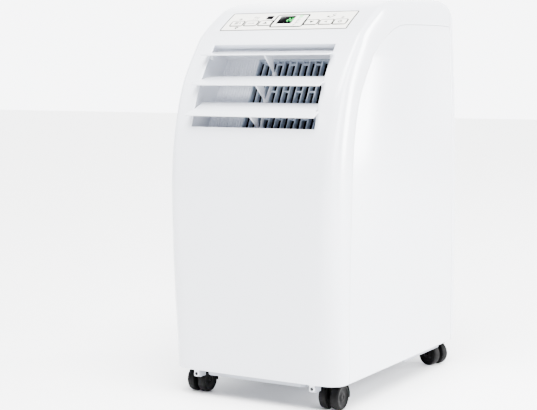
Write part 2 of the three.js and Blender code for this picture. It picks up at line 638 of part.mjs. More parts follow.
function louvreSpan(i) {
  const t0 = frontAt(OUTLET_FOOT);
  const t1 = frontAt(drop(OUTLET_HEAD_DROP));
  const from = LOUVRES.length - 1 - i;
  const step = (t1 - t0) / LOUVRES.length;
  return [t0 + step * from, t0 + step * (from + 1)];
}

function louvrePivot(i) {
  const [t0, t1] = louvreSpan(i);
  return offPoint(frontSurface.profile, (t0 + t1) / 2, -PIVOT_DEPTH);
}

// From a pivot out to the middle of its blade's thickness.
const BLADE_DEPTH = PIVOT_DEPTH + LOUVRE_PROUD + LOUVRE_THICKNESS / 2;

// The link pin's place from a blade's pivot: the same for all three, so that the arms are parallel.
const ARM = [ARM_LENGTH * Math.cos(ARM_ANGLE), ARM_LENGTH * Math.sin(ARM_ANGLE)];

function louvreArm([y, z], along, out) {
  const root = (w) => [y + along.x * w + out.x * BLADE_DEPTH, z + along.y * w + out.y * BLADE_DEPTH];
  const x = [ARM_X - ARM_THICKNESS / 2, ARM_X + ARM_THICKNESS / 2];
  const tip = [y + ARM[0], z + ARM[1]];
  const web = prismX([root(-ARM_LENGTH / 2), tip, root(ARM_LENGTH * 0.4)], x);
  const eye = rodX(ARM_EYE, x, ...tip, 10);
  const pin = rodX(LINK_PIN, [x[0], x[1] + ARM_THICKNESS + 3 * PIVOT_CLEARANCE], ...tip, 8);
  return [web, eye, pin];
}

function louvre(i) {
  const curve = frontSurface.profile;
  const [t0, t1] = louvreSpan(i);
  const pivot = louvrePivot(i);
  const perMm = (LOUVRES.length * (t1 - t0)) / outlet.length;
  const foot = t0 + (LOUVRE_GAP / 2) * perMm;
  const head = t1 - (i === 0 ? HEAD_GAP : LOUVRE_GAP / 2) * perMm;
  const middle = (t0 + t1) / 2;
  const lap = middle - (t1 - t0) * LAP_SHARE;
  const inner = LOUVRE_PROUD;
  const outer = LOUVRE_PROUD + LOUVRE_THICKNESS;
  const narrow = OUTLET_HALF_WIDTH - NARROW_BY;
  const wide = OUTLET_HALF_WIDTH + LOUVRE_OVERLAP;
  const blade = [
    prismX(band(curve, [foot, head], inner, outer, 6).reverse(), [-narrow, narrow]),
    prismX(band(curve, [foot, lap], inner, outer, 3).reverse(), [-wide, wide]),
  ].map((piece) => piece.translate(0, -pivot[0], -pivot[1]).rotateX(-LOUVRE_OPEN)
    .translate(0, pivot[0], pivot[1]));
  const along = curve.getTangent(middle).rotateAround(new THREE.Vector2(), -LOUVRE_OPEN);
  const out = new THREE.Vector2(-along.y, along.x);
  const at = (w, o) => [pivot[0] + along.x * w + out.x * o, pivot[1] + along.y * w + out.y * o];
  const r = LUG_RADIUS;
  const lugOutline = [at(-r, BLADE_DEPTH), at(r, BLADE_DEPTH), at(r, 0), at(-r, 0)];
  const ends = [-1, 1].flatMap((side) => {
    const tab = mirrored([narrow - LUG_THICKNESS, narrow], side);
    const pin = mirrored([narrow - 1, DUCT_HALF_WIDTH + DUCT_WALL - TOUCH], side);
    return [prismX(lugOutline, tab), rodX(r, tab, ...pivot, 10), rodX(PIVOT_RADIUS, pin, ...pivot, 8)];
  });
  return join(...blade, ...ends, ...louvreArm(pivot, along, out));
}

function linkBar() {
  const x0 = ARM_X + ARM_THICKNESS / 2 + PIVOT_CLEARANCE;
  const x = [x0, x0 + ARM_THICKNESS];
  const pins = LOUVRES.map((_, i) => louvrePivot(i)).map(([y, z]) => [y + ARM[0], z + ARM[1]]);
  const eyes = pins.map(([y, z]) => rodX(LINK_EYE, x, y, z, 10));
  const legs = [0, 1].map((i) => {
    const [a, b] = [pins[i], pins[i + 1]];
    const length = Math.hypot(b[0] - a[0], b[1] - a[1]);
    const share = LINK_HALF_WIDTH / length;
    const side = [(b[1] - a[1]) * share, (a[0] - b[0]) * share];
    return prismX([[a[0] + side[0], a[1] + side[1]], [b[0] + side[0], b[1] + side[1]],
      [b[0] - side[0], b[1] - side[1]], [a[0] - side[0], a[1] - side[1]]], x);
  });
  const holes = pins.map(([y, z]) => rodX(LINK_PIN + PIVOT_CLEARANCE, [x[0] - 1, x[1] + 1], y, z, 10));
  return cut(join(...eyes, ...legs), ...holes);
}

// ---- Control panel --------------------------------------------------------------------------
const DISPLAY = { x: -5.5, w: 30.7, width: 27, height: 23.5 };
const RECEIVER = { x: -38.5, w: 38.6, width: 12, height: 11 };
const LENS_THICKNESS = 1.4;
const LENS_RECESS = 0.1;

// A box on the panel: centred at x, and at w up the panel, with its faces square to it.
function onPanel({ x, w, width, height }, grow, depths) {
  const half = width / 2 + grow;
  const tall = height / 2 + grow;
  return chordBox(panel, [x - half, x + half], [w - tall, w + tall], depths);
}

// How far the curved panel's face stands out from its chord at w.
function crown(w) {
  const share = w / panel.length;
  const t = PANEL_SPAN[0] + (PANEL_SPAN[1] - PANEL_SPAN[0]) * share;
  const point = frontSurface.profile.getPoint(t);
  return (point.x - panel.foot.x) * panel.out.x + (point.y - panel.foot.y) * panel.out.y;
}

const buttonAt = (x) => ({ x, w: BUTTON_ROW, width: BUTTON.width, height: BUTTON.height });

function controlPanel() {
  const plate = prismX(band(frontSurface.profile, PANEL_SPAN, -PANEL_THICKNESS, 0, 8).reverse(),
    [-PANEL_HALF_WIDTH, PANEL_HALF_WIDTH]);
  const deep = [-20, 20];
  const holes = BUTTON_XS.map((x) => onPanel(buttonAt(x), BUTTON.clearance, deep));
  return cut(toSolid(plate), ...holes, onPanel(DISPLAY, TOUCH, deep), onPanel(RECEIVER, TOUCH, deep));
}

function button(x) {
  const face = crown(BUTTON_ROW);
  const seat = face - PANEL_THICKNESS - 1;
  const cap = onPanel(buttonAt(x), 0, [seat - BUTTON.flange, face + BUTTON.proud]);
  const flange = onPanel(buttonAt(x), 1, [seat - BUTTON.flange, seat]);
  return join(cap, flange);
}

function lens(place) {
  const face = crown(place.w);
  return onPanel(place, 0, [face - LENS_THICKNESS, face - LENS_RECESS]);
}

function controlBoard() {
  const face = crown(panel.length / 2) - BOARD.depth;
  const board = chordBox(panel, [-BOARD.half, BOARD.half], [BOARD.foot, panel.length - BOARD.head],
    [face - BOARD.thickness, face]);
  const digits = onPanel(DISPLAY, -1, [face - 0.5, face + BOARD.digits]);
  return join(board, digits);
}

// ---- Air paths inside -----------------------------------------------------------------------
const SPIRAL = { from: 200, to: 450, steps: 16 }; // degrees round the fan
const INLET_SHARE = 0.8; // of the wheel's radius
const SHAFT = { radius: 4, hole: 12, hub: 9, hubLength: 20 };
const BLADES = { count: 12, depth: 12, thickness: 1.6, tilt: 0.6, ring: 4, disc: 2.5 };
const MOTOR = { radius: 34, nose: 14, noseLength: 5, boreDepth: 25 };
const FIN_BLOCK = { tubeReach: 6, tubeRadius: 4, tubePitch: 40 };

// A blower scroll in (y, z): a spiral that opens into a mouth. facing is -1 when it blows forwards.
function scrollOutline(fan, facing, mouthLow, mouthHigh, grow) {
  const { from, to, steps } = SPIRAL;
  const spiral = Array.from({ length: steps + 1 }, (_, i) => {
    const angle = THREE.MathUtils.degToRad(from + ((to - from) * i) / steps);
    const radius = fan.scroll + (fan.growth * i) / steps + grow;
    return [fan.y - facing * radius * Math.cos(angle), fan.z + radius * Math.sin(angle)];
  });
  const rise = Math.hypot(mouthHigh[0] - mouthLow[0], mouthHigh[1] - mouthLow[1]);
  const dy = ((mouthHigh[0] - mouthLow[0]) / rise) * grow;
  const dz = ((mouthHigh[1] - mouthLow[1]) / rise) * grow;
  const outline = [[mouthLow[0] - dy, mouthLow[1] - dz], ...spiral, [mouthHigh[0] + dy, mouthHigh[1] + dz]];
  return facing < 0 ? outline : outline.reverse();
}

function scroll(fan, facing, low, high, [x0, x1], reach) {
  const shell = prismX(scrollOutline(fan, facing, low, high, DUCT_WALL), [x0 - DUCT_WALL, x1 + DUCT_WALL]);
  const past = ([y, z]) => [y + facing * reach, z];
  const hollow = prismX(scrollOutline(fan, facing, past(low), past(high), 0), [x0, x1]);
  const inlet = rodX(fan.radius * INLET_SHARE, [x1 - 1, x1 + DUCT_WALL + 1], fan.y, fan.z, 24);
  const shaft = rodX(SHAFT.hole, [x0 - DUCT_WALL - 1, x0 + 1], fan.y, fan.z, 16);
  return cut(toSolid(shell), hollow, inlet, shaft);
}

function fanWheel(fan, x0, shaftLength) {
  const x1 = x0 + fan.width;
  const tip = fan.radius;
  const disc = turnedX([[x0 - shaftLength, 0], [x0 - shaftLength, SHAFT.radius], [x0, SHAFT.radius],
    [x0, tip], [x0 + BLADES.disc, tip], [x0 + BLADES.disc, SHAFT.hub],
    [x0 + SHAFT.hubLength, SHAFT.hub], [x0 + SHAFT.hubLength, 0]], 18);
  const ring = turnedX([[x1 - BLADES.ring, tip - BLADES.depth], [x1 - BLADES.ring, tip], [x1, tip],
    [x1, tip - BLADES.depth]], 18);
  const half = BLADES.thickness / 2;
  const centre = tip - 1 - BLADES.depth / 2;
  const blades = Array.from({ length: BLADES.count }, (_, i) => {
    const blade = block([x0 + 1, x1 - 1], [1 - BLADES.depth / 2, BLADES.depth / 2 - 1], [-half, half]);
    return blade.rotateX(BLADES.tilt).translate(0, centre, 0)
      .rotateX((i / BLADES.count) * 2 * Math.PI);
  });
  return toGeometry(join(disc, ring, ...blades)).translate(0, fan.y, fan.z);
}

function fanMotor(fan, [x0, x1]) {
  const nose = [x1 - 1, x1 + MOTOR.noseLength];
  const bore = [x1 - MOTOR.boreDepth, nose[1] + 1];
  return cut(
    join(rodX(MOTOR.radius, [x0, x1], fan.y, fan.z, 24), rodX(MOTOR.nose, nose, fan.y, fan.z, 16)),
    rodX(SHAFT.radius + PIVOT_CLEARANCE, bore, fan.y, fan.z, 14),
  );
}

function coil([x0, x1], [y0, y1], [z0, z1]) {
  const fins = block([x0 + FIN_BLOCK.tubeReach, x1 - FIN_BLOCK.tubeReach], [y0, y1], [z0, z1]);
  const rows = Math.floor((z1 - z0) / FIN_BLOCK.tubePitch);
  const tubes = Array.from({ length: rows }, (_, i) => {
    const z = z0 + ((z1 - z0) * (i + 0.5)) / rows;
    return rodX(FIN_BLOCK.tubeRadius, [x0, x1], (y0 + y1) / 2, z, 8);
  });
  return join(fins, ...tubes);
}

const COMPRESSOR = {
  x: -70, y: FRONT + 118, radius: 52, foot: PAN_FLOOR + PAN.floor + TOUCH, height: 205, dome: 22, bottom: 10,
};
const FEET = { reach: 8, half: 30, thickness: 3 };
const ACCUMULATOR = { radius: 20, foot: 40, head: 150, overlap: 4 };

function compressor() {
  const { x, y, radius, foot, height, dome, bottom } = COMPRESSOR;
  const outline = [[0, 0], [radius - 8, 0], [radius, bottom], [radius, height - dome],
    [radius * 0.8, height - dome * 0.35], [radius * 0.4, height], [0, height]];
  const can = new THREE.LatheGeometry(outline.map(([r, z]) => new THREE.Vector2(r, z)), 24)
    .rotateX(Math.PI / 2).translate(x, y, foot);
  const reach = radius + FEET.reach;
  const plate = block([x - reach, x + reach], [y - FEET.half, y + FEET.half], [foot, foot + FEET.thickness]);
  const accumulator = rodZ(ACCUMULATOR.radius, [foot + ACCUMULATOR.foot, foot + ACCUMULATOR.head],
    x - radius + ACCUMULATOR.overlap, y + radius - ACCUMULATOR.overlap / 2, 16);
  return join(can, plate, accumulator);
}

const EXHAUST_FRONT = BACK - 47;
const EXHAUST_BACK = BACK - 1.5;

function exhaustCollar() {
  const outer = EXHAUST.bore + EXHAUST.wall;
  const inner = EXHAUST_FRONT + EXHAUST.wall;
  const outline = [[EXHAUST.bore, EXHAUST_FRONT], [EXHAUST.flange, EXHAUST_FRONT], [EXHAUST.flange, inner],
    [outer, inner], [outer, EXHAUST_BACK], [EXHAUST.bore, EXHAUST_BACK]];
  const closed = [...outline, outline[0]].map(([r, y]) => new THREE.Vector2(r, y));
  return new THREE.LatheGeometry(closed, 28).translate(EXHAUST.x, 0, EXHAUST.z);
}

// Its nut is inside the wall, and its body stands in the wall's hole.
function cordGland() {
  const front = BACK - 14;
  const body = rodY(GLAND.radius, [front, BACK - 2.4], GLAND.x, GLAND.z, 16);
  const nut = rodY(GLAND.nut, [front, BACK - 6.5], GLAND.x, GLAND.z, 6);
  return cut(join(body, nut), rodY(GLAND.bore, [front - 1, BACK], GLAND.x, GLAND.z, 12));
}

function drainPlug() {
  const stopper = rodY(DRAIN.radius, [BACK - 14, BACK], DRAIN.x, DRAIN.z, 16);
  return cut(toSolid(stopper), rodY(DRAIN.grip, [BACK - 3, BACK + 1], DRAIN.x, DRAIN.z, 6));
}

// ---- Rear filter covers ---------------------------------------------------------------------
function filterCover(filter) {
  const [t0, t1] = filterSpan(filter);
  const chord = chordOf(rearSurface.profile, t0, t1);
  const plate = prismX(band(rearSurface.profile, [t0, t1], -FILTER.thickness, 0, 5).reverse(),
    [-filter.halfWidth, filter.halfWidth]);
  const pitch = (chord.length - 2 * FILTER.rim) / FILTER.slots;
  const slots = [];
  for (let i = 0; i < FILTER.slots; i += 1) {
    const w = FILTER.rim + pitch * (i + (1 - FILTER.slotShare) / 2);
    for (const side of [-1, 1]) {
      const x = mirrored([FILTER.mullion / 2, filter.halfWidth - FILTER.rim], side);
      slots.push(chordBox(chord, x, [w, w + pitch * FILTER.slotShare], [-10, 10]));
    }
  }
  return cut(toSolid(plate), ...slots);
}

function filterMesh(filter) {
  const [t0, t1] = filterSpan(filter);
  const trim = ((t1 - t0) * FILTER.trim) / (filter.head - filter.foot);
  const face = -FILTER.thickness - TOUCH;
  const half = filter.halfWidth - FILTER.trim;
  const outline = band(rearSurface.profile, [t0 + trim, t1 - trim], face - FILTER.mesh, face, 5);
  return prismX(outline.reverse(), [-half, half]);
}

// ---- Assembly -------------------------------------------------------------------------------
part('front_housing', frontHousing(), WHITE);
part('left_side_panel', sidePanel(-1), WHITE);
part('right_side_panel', sidePanel(1), WHITE);
part('rear_housing', rearHousing(), WHITE);
part('base_pan', basePan(), PALE_GREY);
part('front_screw_left', screw(-TAB.x), ZINC);
part('front_screw_right', screw(TAB.x), ZINC);
CASTERS.forEach(addCaster);

part('outlet_duct', outletDuct(), PALE_GREY);
part('outlet_guard', outletGuard(), PALE_GREY);
LOUVRES.forEach((name, i) => part(`louvre_${name}`, louvre(i), WHITE));
part('louvre_link_bar', linkBar(), PALE_GREY);

part('control_panel', controlPanel(), WARM_WHITE);
BUTTON_XS.forEach((x, i) => part(`button_${i + 1}`, button(x), WARM_WHITE));
part('display_window', lens(DISPLAY), GLOSS_BLACK);
part('receiver_window', lens(RECEIVER), GLOSS_BLACK);
part('control_board', controlBoard(), GREEN_BOARD);

const COOL_MOUTH = [0, outlet.length].map((w) => outlet.at(w, -DUCT_END - TOUCH));
const UPPER_SPAN = [GUARD_LEFT, DUCT_HALF_WIDTH];
const UPPER_MOTOR = [-128, GUARD_LEFT - 12];
part('evaporator_blower_scroll', scroll(UPPER_FAN, -1, ...COOL_MOUTH, UPPER_SPAN, 20), BLACK);
part('evaporator_blower_wheel', fanWheel(UPPER_FAN, UPPER_SPAN[0] + 20, 42), BLACK);
part('evaporator_fan_motor', fanMotor(UPPER_FAN, UPPER_MOTOR), ZINC);

const HOT_MOUTH = [-1, 1].map((side) => [EXHAUST_FRONT - 1, EXHAUST.z + (side * EXHAUST.mouth) / 2]);
const LOWER_SPAN = [EXHAUST.x - 68, EXHAUST.x + 68];
const LOWER_MOTOR = [LOWER_SPAN[0] - 72, LOWER_SPAN[0] - 12];
part('condenser_blower_scroll', scroll(LOWER_FAN, 1, ...HOT_MOUTH, LOWER_SPAN, 20), PALE_GREY);
part('condenser_blower_wheel', fanWheel(LOWER_FAN, LOWER_SPAN[0] + 16, 38), BLACK);
part('condenser_fan_motor', fanMotor(LOWER_FAN, LOWER_MOTOR), ZINC);
part('exhaust_collar', exhaustCollar(), PALE_GREY);

const COLD_COIL = { x: [-112, 112], y: [BACK - 80, BACK - 54], z: [398, 570] };
const HOT_COIL = { x: [-112, 112], y: [BACK - 38, BACK - 14], z: [84, 244] };
const TRAY = { x: [-122, 122], y: [COLD_COIL.y[0] - 12, COLD_COIL.y[1] + 14], z: [382, 396], wall: 2 };
part('evaporator_coil', coil(COLD_COIL.x, COLD_COIL.y, COLD_COIL.z), ALUMINIUM);
part('condenser_coil', coil(HOT_COIL.x, HOT_COIL.y, HOT_COIL.z), ALUMINIUM);
part('drip_tray', cut(
  toSolid(block(TRAY.x, TRAY.y, TRAY.z)),
  block(...[TRAY.x, TRAY.y].map(([low, high]) => [low + TRAY.wall, high - TRAY.wall]),
    [TRAY.z[0] + TRAY.wall, TRAY.z[1] + 1]),
), PALE_GREY);

// The pipes run up the left side, from the coils' ends to the compressor.
const LEFT_RUN = 14 - SIDE;
const compressorTop = COMPRESSOR.foot + COMPRESSOR.height;
const SUCTION = [
  [COLD_COIL.x[0] - 9.3, COLD_COIL.y[0] + 13, 420],
  [LEFT_RUN + 2, COLD_COIL.y[0] - 8, 420],
  [LEFT_RUN, 60, 380],
  [LEFT_RUN + 2, COMPRESSOR.y + 60, 320],
  [-100, COMPRESSOR.y + 10, 300],
  [COMPRESSOR.x, COMPRESSOR.y, compressorTop + 20],
  [COMPRESSOR.x, COMPRESSOR.y, compressorTop + TOUCH],
];
const DISCHARGE = [[HOT_COIL.x[0] - 9.5, HOT_COIL.y[0] + 12, 230], [LEFT_RUN + 2, HOT_COIL.y[0] - 10, 230],
  [LEFT_RUN, 100, 240], [LEFT_RUN, COMPRESSOR.y + 80, 250], [LEFT_RUN + 6, COMPRESSOR.y + 20, 245],
  [COMPRESSOR.x - COMPRESSOR.radius - 6, COMPRESSOR.y - 20, 200]];
part('compressor', compressor(), BLACK);
part('suction_pipe', tube(SUCTION, 4), COPPER);
part('discharge_pipe', tube(DISCHARGE, 3), COPPER);
part('electrical_box', block([20, 132], [FRONT + 38, COMPRESSOR.y], [80, 230]), ZINC);

part('upper_filter_cover', filterCover(UPPER_FILTER), WHITE);
part('upper_filter', filterMesh(UPPER_FILTER), FILTER_BLUE);
part('lower_filter_cover', filterCover(LOWER_FILTER), WHITE);
part('lower_filter', filterMesh(LOWER_FILTER), FILTER_BLUE);
part('drain_plug', drainPlug(), RUBBER);
part('cord_gland', cordGland(), BLACK);

export default unit;
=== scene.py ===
"""Portable room air conditioner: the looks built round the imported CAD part, in assembly order."""

import math

import bmesh
import bpy
from mathutils import Matrix, Vector
from mathutils.geometry import delaunay_2d_cdt


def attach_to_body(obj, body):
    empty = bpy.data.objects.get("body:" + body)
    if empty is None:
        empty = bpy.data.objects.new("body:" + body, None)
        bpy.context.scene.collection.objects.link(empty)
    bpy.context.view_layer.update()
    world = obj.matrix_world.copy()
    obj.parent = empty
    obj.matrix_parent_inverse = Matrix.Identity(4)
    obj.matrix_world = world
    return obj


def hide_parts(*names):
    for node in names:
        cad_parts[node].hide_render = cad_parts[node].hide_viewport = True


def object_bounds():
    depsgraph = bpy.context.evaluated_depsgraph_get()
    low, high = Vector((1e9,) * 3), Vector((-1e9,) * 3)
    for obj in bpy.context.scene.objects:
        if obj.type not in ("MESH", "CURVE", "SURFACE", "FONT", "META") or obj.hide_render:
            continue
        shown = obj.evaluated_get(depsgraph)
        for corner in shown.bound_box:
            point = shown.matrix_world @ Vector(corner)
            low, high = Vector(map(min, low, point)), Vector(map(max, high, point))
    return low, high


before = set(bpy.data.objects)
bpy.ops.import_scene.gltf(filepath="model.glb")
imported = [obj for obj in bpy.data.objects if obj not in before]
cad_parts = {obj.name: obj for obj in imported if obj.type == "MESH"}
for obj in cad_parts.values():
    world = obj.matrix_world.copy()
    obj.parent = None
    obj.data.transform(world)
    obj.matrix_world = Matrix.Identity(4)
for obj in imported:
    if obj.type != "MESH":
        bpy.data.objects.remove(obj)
cad_low, cad_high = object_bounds()

# ---- Viewpoint, floor and studio light ------------------------------------------------------
# A long lens at the chest height of a seated viewer, to the right of the front. The floor is plain
# pale board. The room is white and brightest behind, with a broad soft sun above, a small source
# over the front, a large one at the right side and a tall one behind the right corner.
camera = bpy.data.objects.new("camera", bpy.data.cameras.new("camera"))
bpy.context.scene.collection.objects.link(camera)
bpy.context.scene.camera = camera
camera.data.sensor_width = 36
camera.data.lens = 89.6
camera.location = (1.0518, -1.9577, 0.5133)
turn, pitch = math.radians(30.48), math.radians(5.68)
backward = Vector((math.sin(turn) * math.cos(pitch), -math.cos(turn) * math.cos(pitch), math.sin(pitch)))
camera.rotation_euler = backward.to_track_quat("Z", "Y").to_euler()


def srgb(code):
    """A colour written as #rrggbb, as the linear value that a shader takes."""
    parts = [int(code[i:i + 2], 16) / 255 for i in (1, 3, 5)]
    return (*[c / 12.92 if c <= 0.04045 else ((c + 0.055) / 1.055) ** 2.4 for c in parts], 1.0)


def add(tree, kind, inputs=None, **settings):
    """Adds a node, sets its properties, and fills or links its inputs."""
    node = tree.nodes.new(kind)
    for key, value in settings.items():
        setattr(node, key, value)
    for key, value in (inputs or {}).items():
        if isinstance(value, bpy.types.NodeSocket):
            tree.links.new(value, node.inputs[key])
        else:
            node.inputs[key].default_value = value
    return node


def placed(name, data):
    made = bpy.data.objects.new(name, data)
    bpy.context.scene.collection.objects.link(made)
    return made


def new_object(name, bm, scale=0.001):
    """An object from a mesh drawn in millimetres, or at another scale."""
    bmesh.ops.scale(bm, vec=(scale, scale, scale), verts=bm.verts)
    mesh = bpy.data.meshes.new(name)
    bm.to_mesh(mesh)
    bm.free()
    return placed(name, mesh)


world = bpy.data.worlds.new("white room")
bpy.context.scene.world = world
world.use_nodes = True
world.node_tree.nodes.clear()
way = add(world.node_tree, "ShaderNodeTexCoord")
level = add(world.node_tree, "ShaderNodeVectorMath", {0: way.outputs["Generated"], 1: (-0.45, 0.88, -0.1)},
            operation="DOT_PRODUCT")
walls = add(world.node_tree, "ShaderNodeMapRange", {
    "Value": level.outputs["Value"], "From Min": 0.4, "From Max": 0.9, "To Min": 0.35, "To Max": 7.6},
    interpolation_type="SMOOTHSTEP")
sky = add(world.node_tree, "ShaderNodeBackground", {"Color": srgb("#fbfcff"), "Strength": walls.outputs[0]})
room = add(world.node_tree, "ShaderNodeOutputWorld")
world.node_tree.links.new(sky.outputs[0], room.inputs["Surface"])

for name, kind, place, aim, size, power in (
        ("overhead", "SUN", (0.25, -0.32, 0.9), (0, 0, 0), None, 16),
        ("upper_front", "AREA", (0.0, -0.7, 1.3), (0, -0.2, 0.6), (0.6, 0.6), 26),
        ("right_side", "AREA", (3.0, 0.0, 1.3), (0, 0, 0.35), (1.8, 1.8), 190),
        ("strip", "AREA", (3.2, 3.15, 1.3), (0, 0, 0.3), (0.95, 2.4), 380)):
    lamp = bpy.data.lights.new(name, kind)
    lamp.energy = power
    if kind == "SUN":
        lamp.angle = math.radians(50)
    else:
        lamp.shape = "RECTANGLE"
        lamp.size, lamp.size_y = size
    holder = placed(name, lamp)
    holder.location = place
    holder.rotation_euler = (Vector(place) - Vector(aim)).to_track_quat("Z", "Y").to_euler()

board = bmesh.new()
bmesh.ops.create_grid(board, x_segments=1, y_segments=1, size=12000)
floor = new_object("floor", board)
paint = bpy.data.materials.new("pale studio floor")
paint.use_nodes = True
paint.node_tree.nodes["Principled BSDF"].inputs["Base Color"].default_value = srgb("#fafafa")
paint.node_tree.nodes["Principled BSDF"].inputs["Roughness"].default_value = 0.6
floor.data.materials.append(paint)

# ---- Front housing --------------------------------------------------------------------------
# One injection-moulded cool-white gloss ABS cover, 2.8 mm thick, that makes the front, both
# turned corners and most of the top. It hooks over the rear cover and is screwed at the foot.
FRONT, BACK, SIDE, HEIGHT = -238.0, 238.0, 150.0, 635.0
FLOOR_GAP, WALL, JOINT_LINE = 43.0, 2.8, 0.5
OUTLET_FOOT = HEIGHT - 206
RISE = OUTLET_FOOT - FLOOR_GAP
FRONT_ROWS = [  # profile y and z, seam y and z, width of the turned corner
    (FRONT + 19.5, FLOOR_GAP - 14, FRONT + 54, FLOOR_GAP - 14, 53),
    (FRONT + 9, FLOOR_GAP + 0.2 * RISE, FRONT + 54, FLOOR_GAP + 0.2 * RISE, 46),
    (FRONT + 2, FLOOR_GAP + 0.43 * RISE, FRONT + 54.5, FLOOR_GAP + 0.43 * RISE, 39),
    (FRONT, FLOOR_GAP + 0.665 * RISE, FRONT + 57.6, FLOOR_GAP + 0.66 * RISE, 32),
    (FRONT + 3.3, FLOOR_GAP + 0.84 * RISE, FRONT + 60.5, FLOOR_GAP + 0.83 * RISE, 26),
    (FRONT + 15.7, OUTLET_FOOT, FRONT + 65.7, HEIGHT - 222.5, 21),
    (FRONT + 41.4, HEIGHT - 138.4, FRONT + 82, HEIGHT - 163, 15),
    (FRONT + 82.7, HEIGHT - 78.9, FRONT + 119.5, HEIGHT - 107, 13),
    (FRONT + 105.7, HEIGHT - 56.1, FRONT + 132.6, HEIGHT - 92.2, 13),
    (FRONT + 152.7, HEIGHT - 26.7, FRONT + 174.7, HEIGHT - 65.8, 13),
    (FRONT + 178, HEIGHT - 15.8, FRONT + 194.8, HEIGHT - 57, 13),
    (FRONT + 206, HEIGHT - 9.6, FRONT + 215, HEIGHT - 50.6, 14),
    (FRONT + 236, HEIGHT - 6.6, FRONT + 239, HEIGHT - 46.6, 15),
    (BACK - 148, HEIGHT - 2.2, BACK - 148, HEIGHT - 44.4, 16),
    (BACK - 84, HEIGHT, BACK - 84, HEIGHT - 44, 17),
    (BACK - 54, HEIGHT - 3.6, BACK - 54, HEIGHT - 44.6, 18),
]
KEPT = 115.5  # columns keep their x out to here, so that openings stay square
STRETCH, ROUND, TURN_STEPS = 10.0, 40.0, 22


def spline(points, t):
    """Catmull-Rom through the points, t from 0 to 1."""
    span = (len(points) - 1) * min(max(t, 0.0), 1.0)
    i = int(span)
    w = span - i
    a, b, c, d = (points[min(max(i + k, 0), len(points) - 1)] for k in (-1, 0, 1, 2))
    return tuple(
        (2 * q - 2 * r + (r - p) / 2 + (s - q) / 2) * w ** 3
        + (-3 * q + 3 * r - (r - p) - (s - q) / 2) * w ** 2 + (r - p) / 2 * w + q
        for p, q, r, s in zip(a, b, c, d))


def profile(rows, t):
    return spline([row[0:2] for row in rows], t)


def across(rows, t, c):
    """Where a column stands: its x, and how far it has turned from the profile to the seam."""
    roll = spline([(row[4],) for row in rows], t)[0]
    flat = SIDE - roll
    kept = KEPT * min(1.0, 0.97 * flat / KEPT)
    out, side = abs(c), math.copysign(1, c)
    if out <= KEPT:
        return c * kept / KEPT, 0.0
    if out <= KEPT + STRETCH:
        return side * (kept + (flat - kept) * (out - KEPT) / STRETCH), 0.0
    angle = min((out - KEPT - STRETCH) / ROUND, 1.0) * math.pi / 2
    return side * (flat + roll * math.sin(angle) ** (2 / 3)), 1 - max(math.cos(angle), 0.0) ** (2 / 3)


def bisect(low, high, short):
    """Narrows a span round the place where short() stops being true."""
    for _ in range(40):
        middle = (low + high) / 2
        if short(middle):
            low = middle
        else:
            high = middle
    return low, high


def column_at(rows, t, x):
    """The column that stands at x."""
    low, _ = bisect(0.0, KEPT + STRETCH + ROUND, lambda c: across(rows, t, c)[0] < abs(x))
    return math.copysign(low, x)


def shell_point(rows, t, c):
    x, deep = across(rows, t, c)
    (y0, z0), (y1, z1) = profile(rows, t), spline([row[2:4] for row in rows], t)
    y = min(max(y0 + (y1 - y0) * deep, cad_low.y * 1000 + 0.002), cad_high.y * 1000 - 0.002)
    return Vector((x, y, min(z0 + (z1 - z0) * deep, cad_high.z * 1000 - 0.002)))


def at_height(rows, z, span):
    """The parameter where the profile crosses a height, on a stretch that only rises or falls."""
    rising = profile(rows, span[1])[1] > profile(rows, span[0])[1]
    return sum(bisect(*span, lambda t: (profile(rows, t)[1] > z) != rising)) / 2


def inside(point, loop):
    """Whether a flat point lies inside a loop."""
    hit = False
    for (x0, y0), (x1, y1) in zip(loop, loop[1:] + loop[:1]):
        if (y0 > point[1]) != (y1 > point[1]) and point[0] < x0 + (x1 - x0) * (point[1] - y0) / (y1 - y0):
            hit = not hit
    return hit


def holed_sheet(name, columns, rows, loops, place):
    """A triangulated sheet over a grid of stations, with holes, put in space by place(a, b)."""
    boxes = [(min(p[0] for p in loop), max(p[0] for p in loop),
              min(p[1] for p in loop), max(p[1] for p in loop)) for loop in loops]
    near = 0.35 * (rows[1] - rows[0])

    def dropped(point):
        for box, loop in zip(boxes, loops):
            if box[0] - near <= point[0] <= box[1] + near and box[2] - near <= point[1] <= box[3] + near:
                closest = min((Vector(point) - Vector(q)).length for q in loop)
                if closest < near or inside(point, loop):
                    return True
        return False

    points = [Vector((a, b)) for b in rows for a in columns if not dropped((a, b))]
    edges = []
    for loop in loops:
        first = len(points)
        points += [Vector(q) for q in loop]
        edges += [(first + i, first + (i + 1) % len(loop)) for i in range(len(loop))]
    flat, _, faces, *_ = delaunay_2d_cdt(points, edges, [], 0, 1e-5)
    bm = bmesh.new()
    made = [bm.verts.new(place(p.x, p.y)) for p in flat]
    for face in faces:
        middle = sum((flat[i] for i in face), Vector((0, 0))) / len(face)
        if not any(b[0] < middle.x < b[1] and b[2] < middle.y < b[3] and inside(middle, q)
                   for b, q in zip(boxes, loops)):
            bm.faces.new([made[i] for i in face])
    bmesh.ops.delete(bm, geom=[v for v in bm.verts if not v.link_faces], context="VERTS")
    return new_object(name, bm)


def straight(a, b, step):
    """Points from a up to, not including, b."""
    count = max(1, round(math.dist(a, b) / step))
    return [(a[0] + (b[0] - a[0]) * i / count, a[1] + (b[1] - a[1]) * i / count) for i in range(count)]


def corners(a, b):
    """The corners of a rectangle, from two spans."""
    return [(a[0], b[0]), (a[1], b[0]), (a[1], b[1]), (a[0], b[1])]


def rectangle(x0, x1, y0, y1, step):
    loop = corners((x0, x1), (y0, y1))
    return [p for a, b in zip(loop, loop[1:] + loop[:1]) for p in straight(a, b, step)]


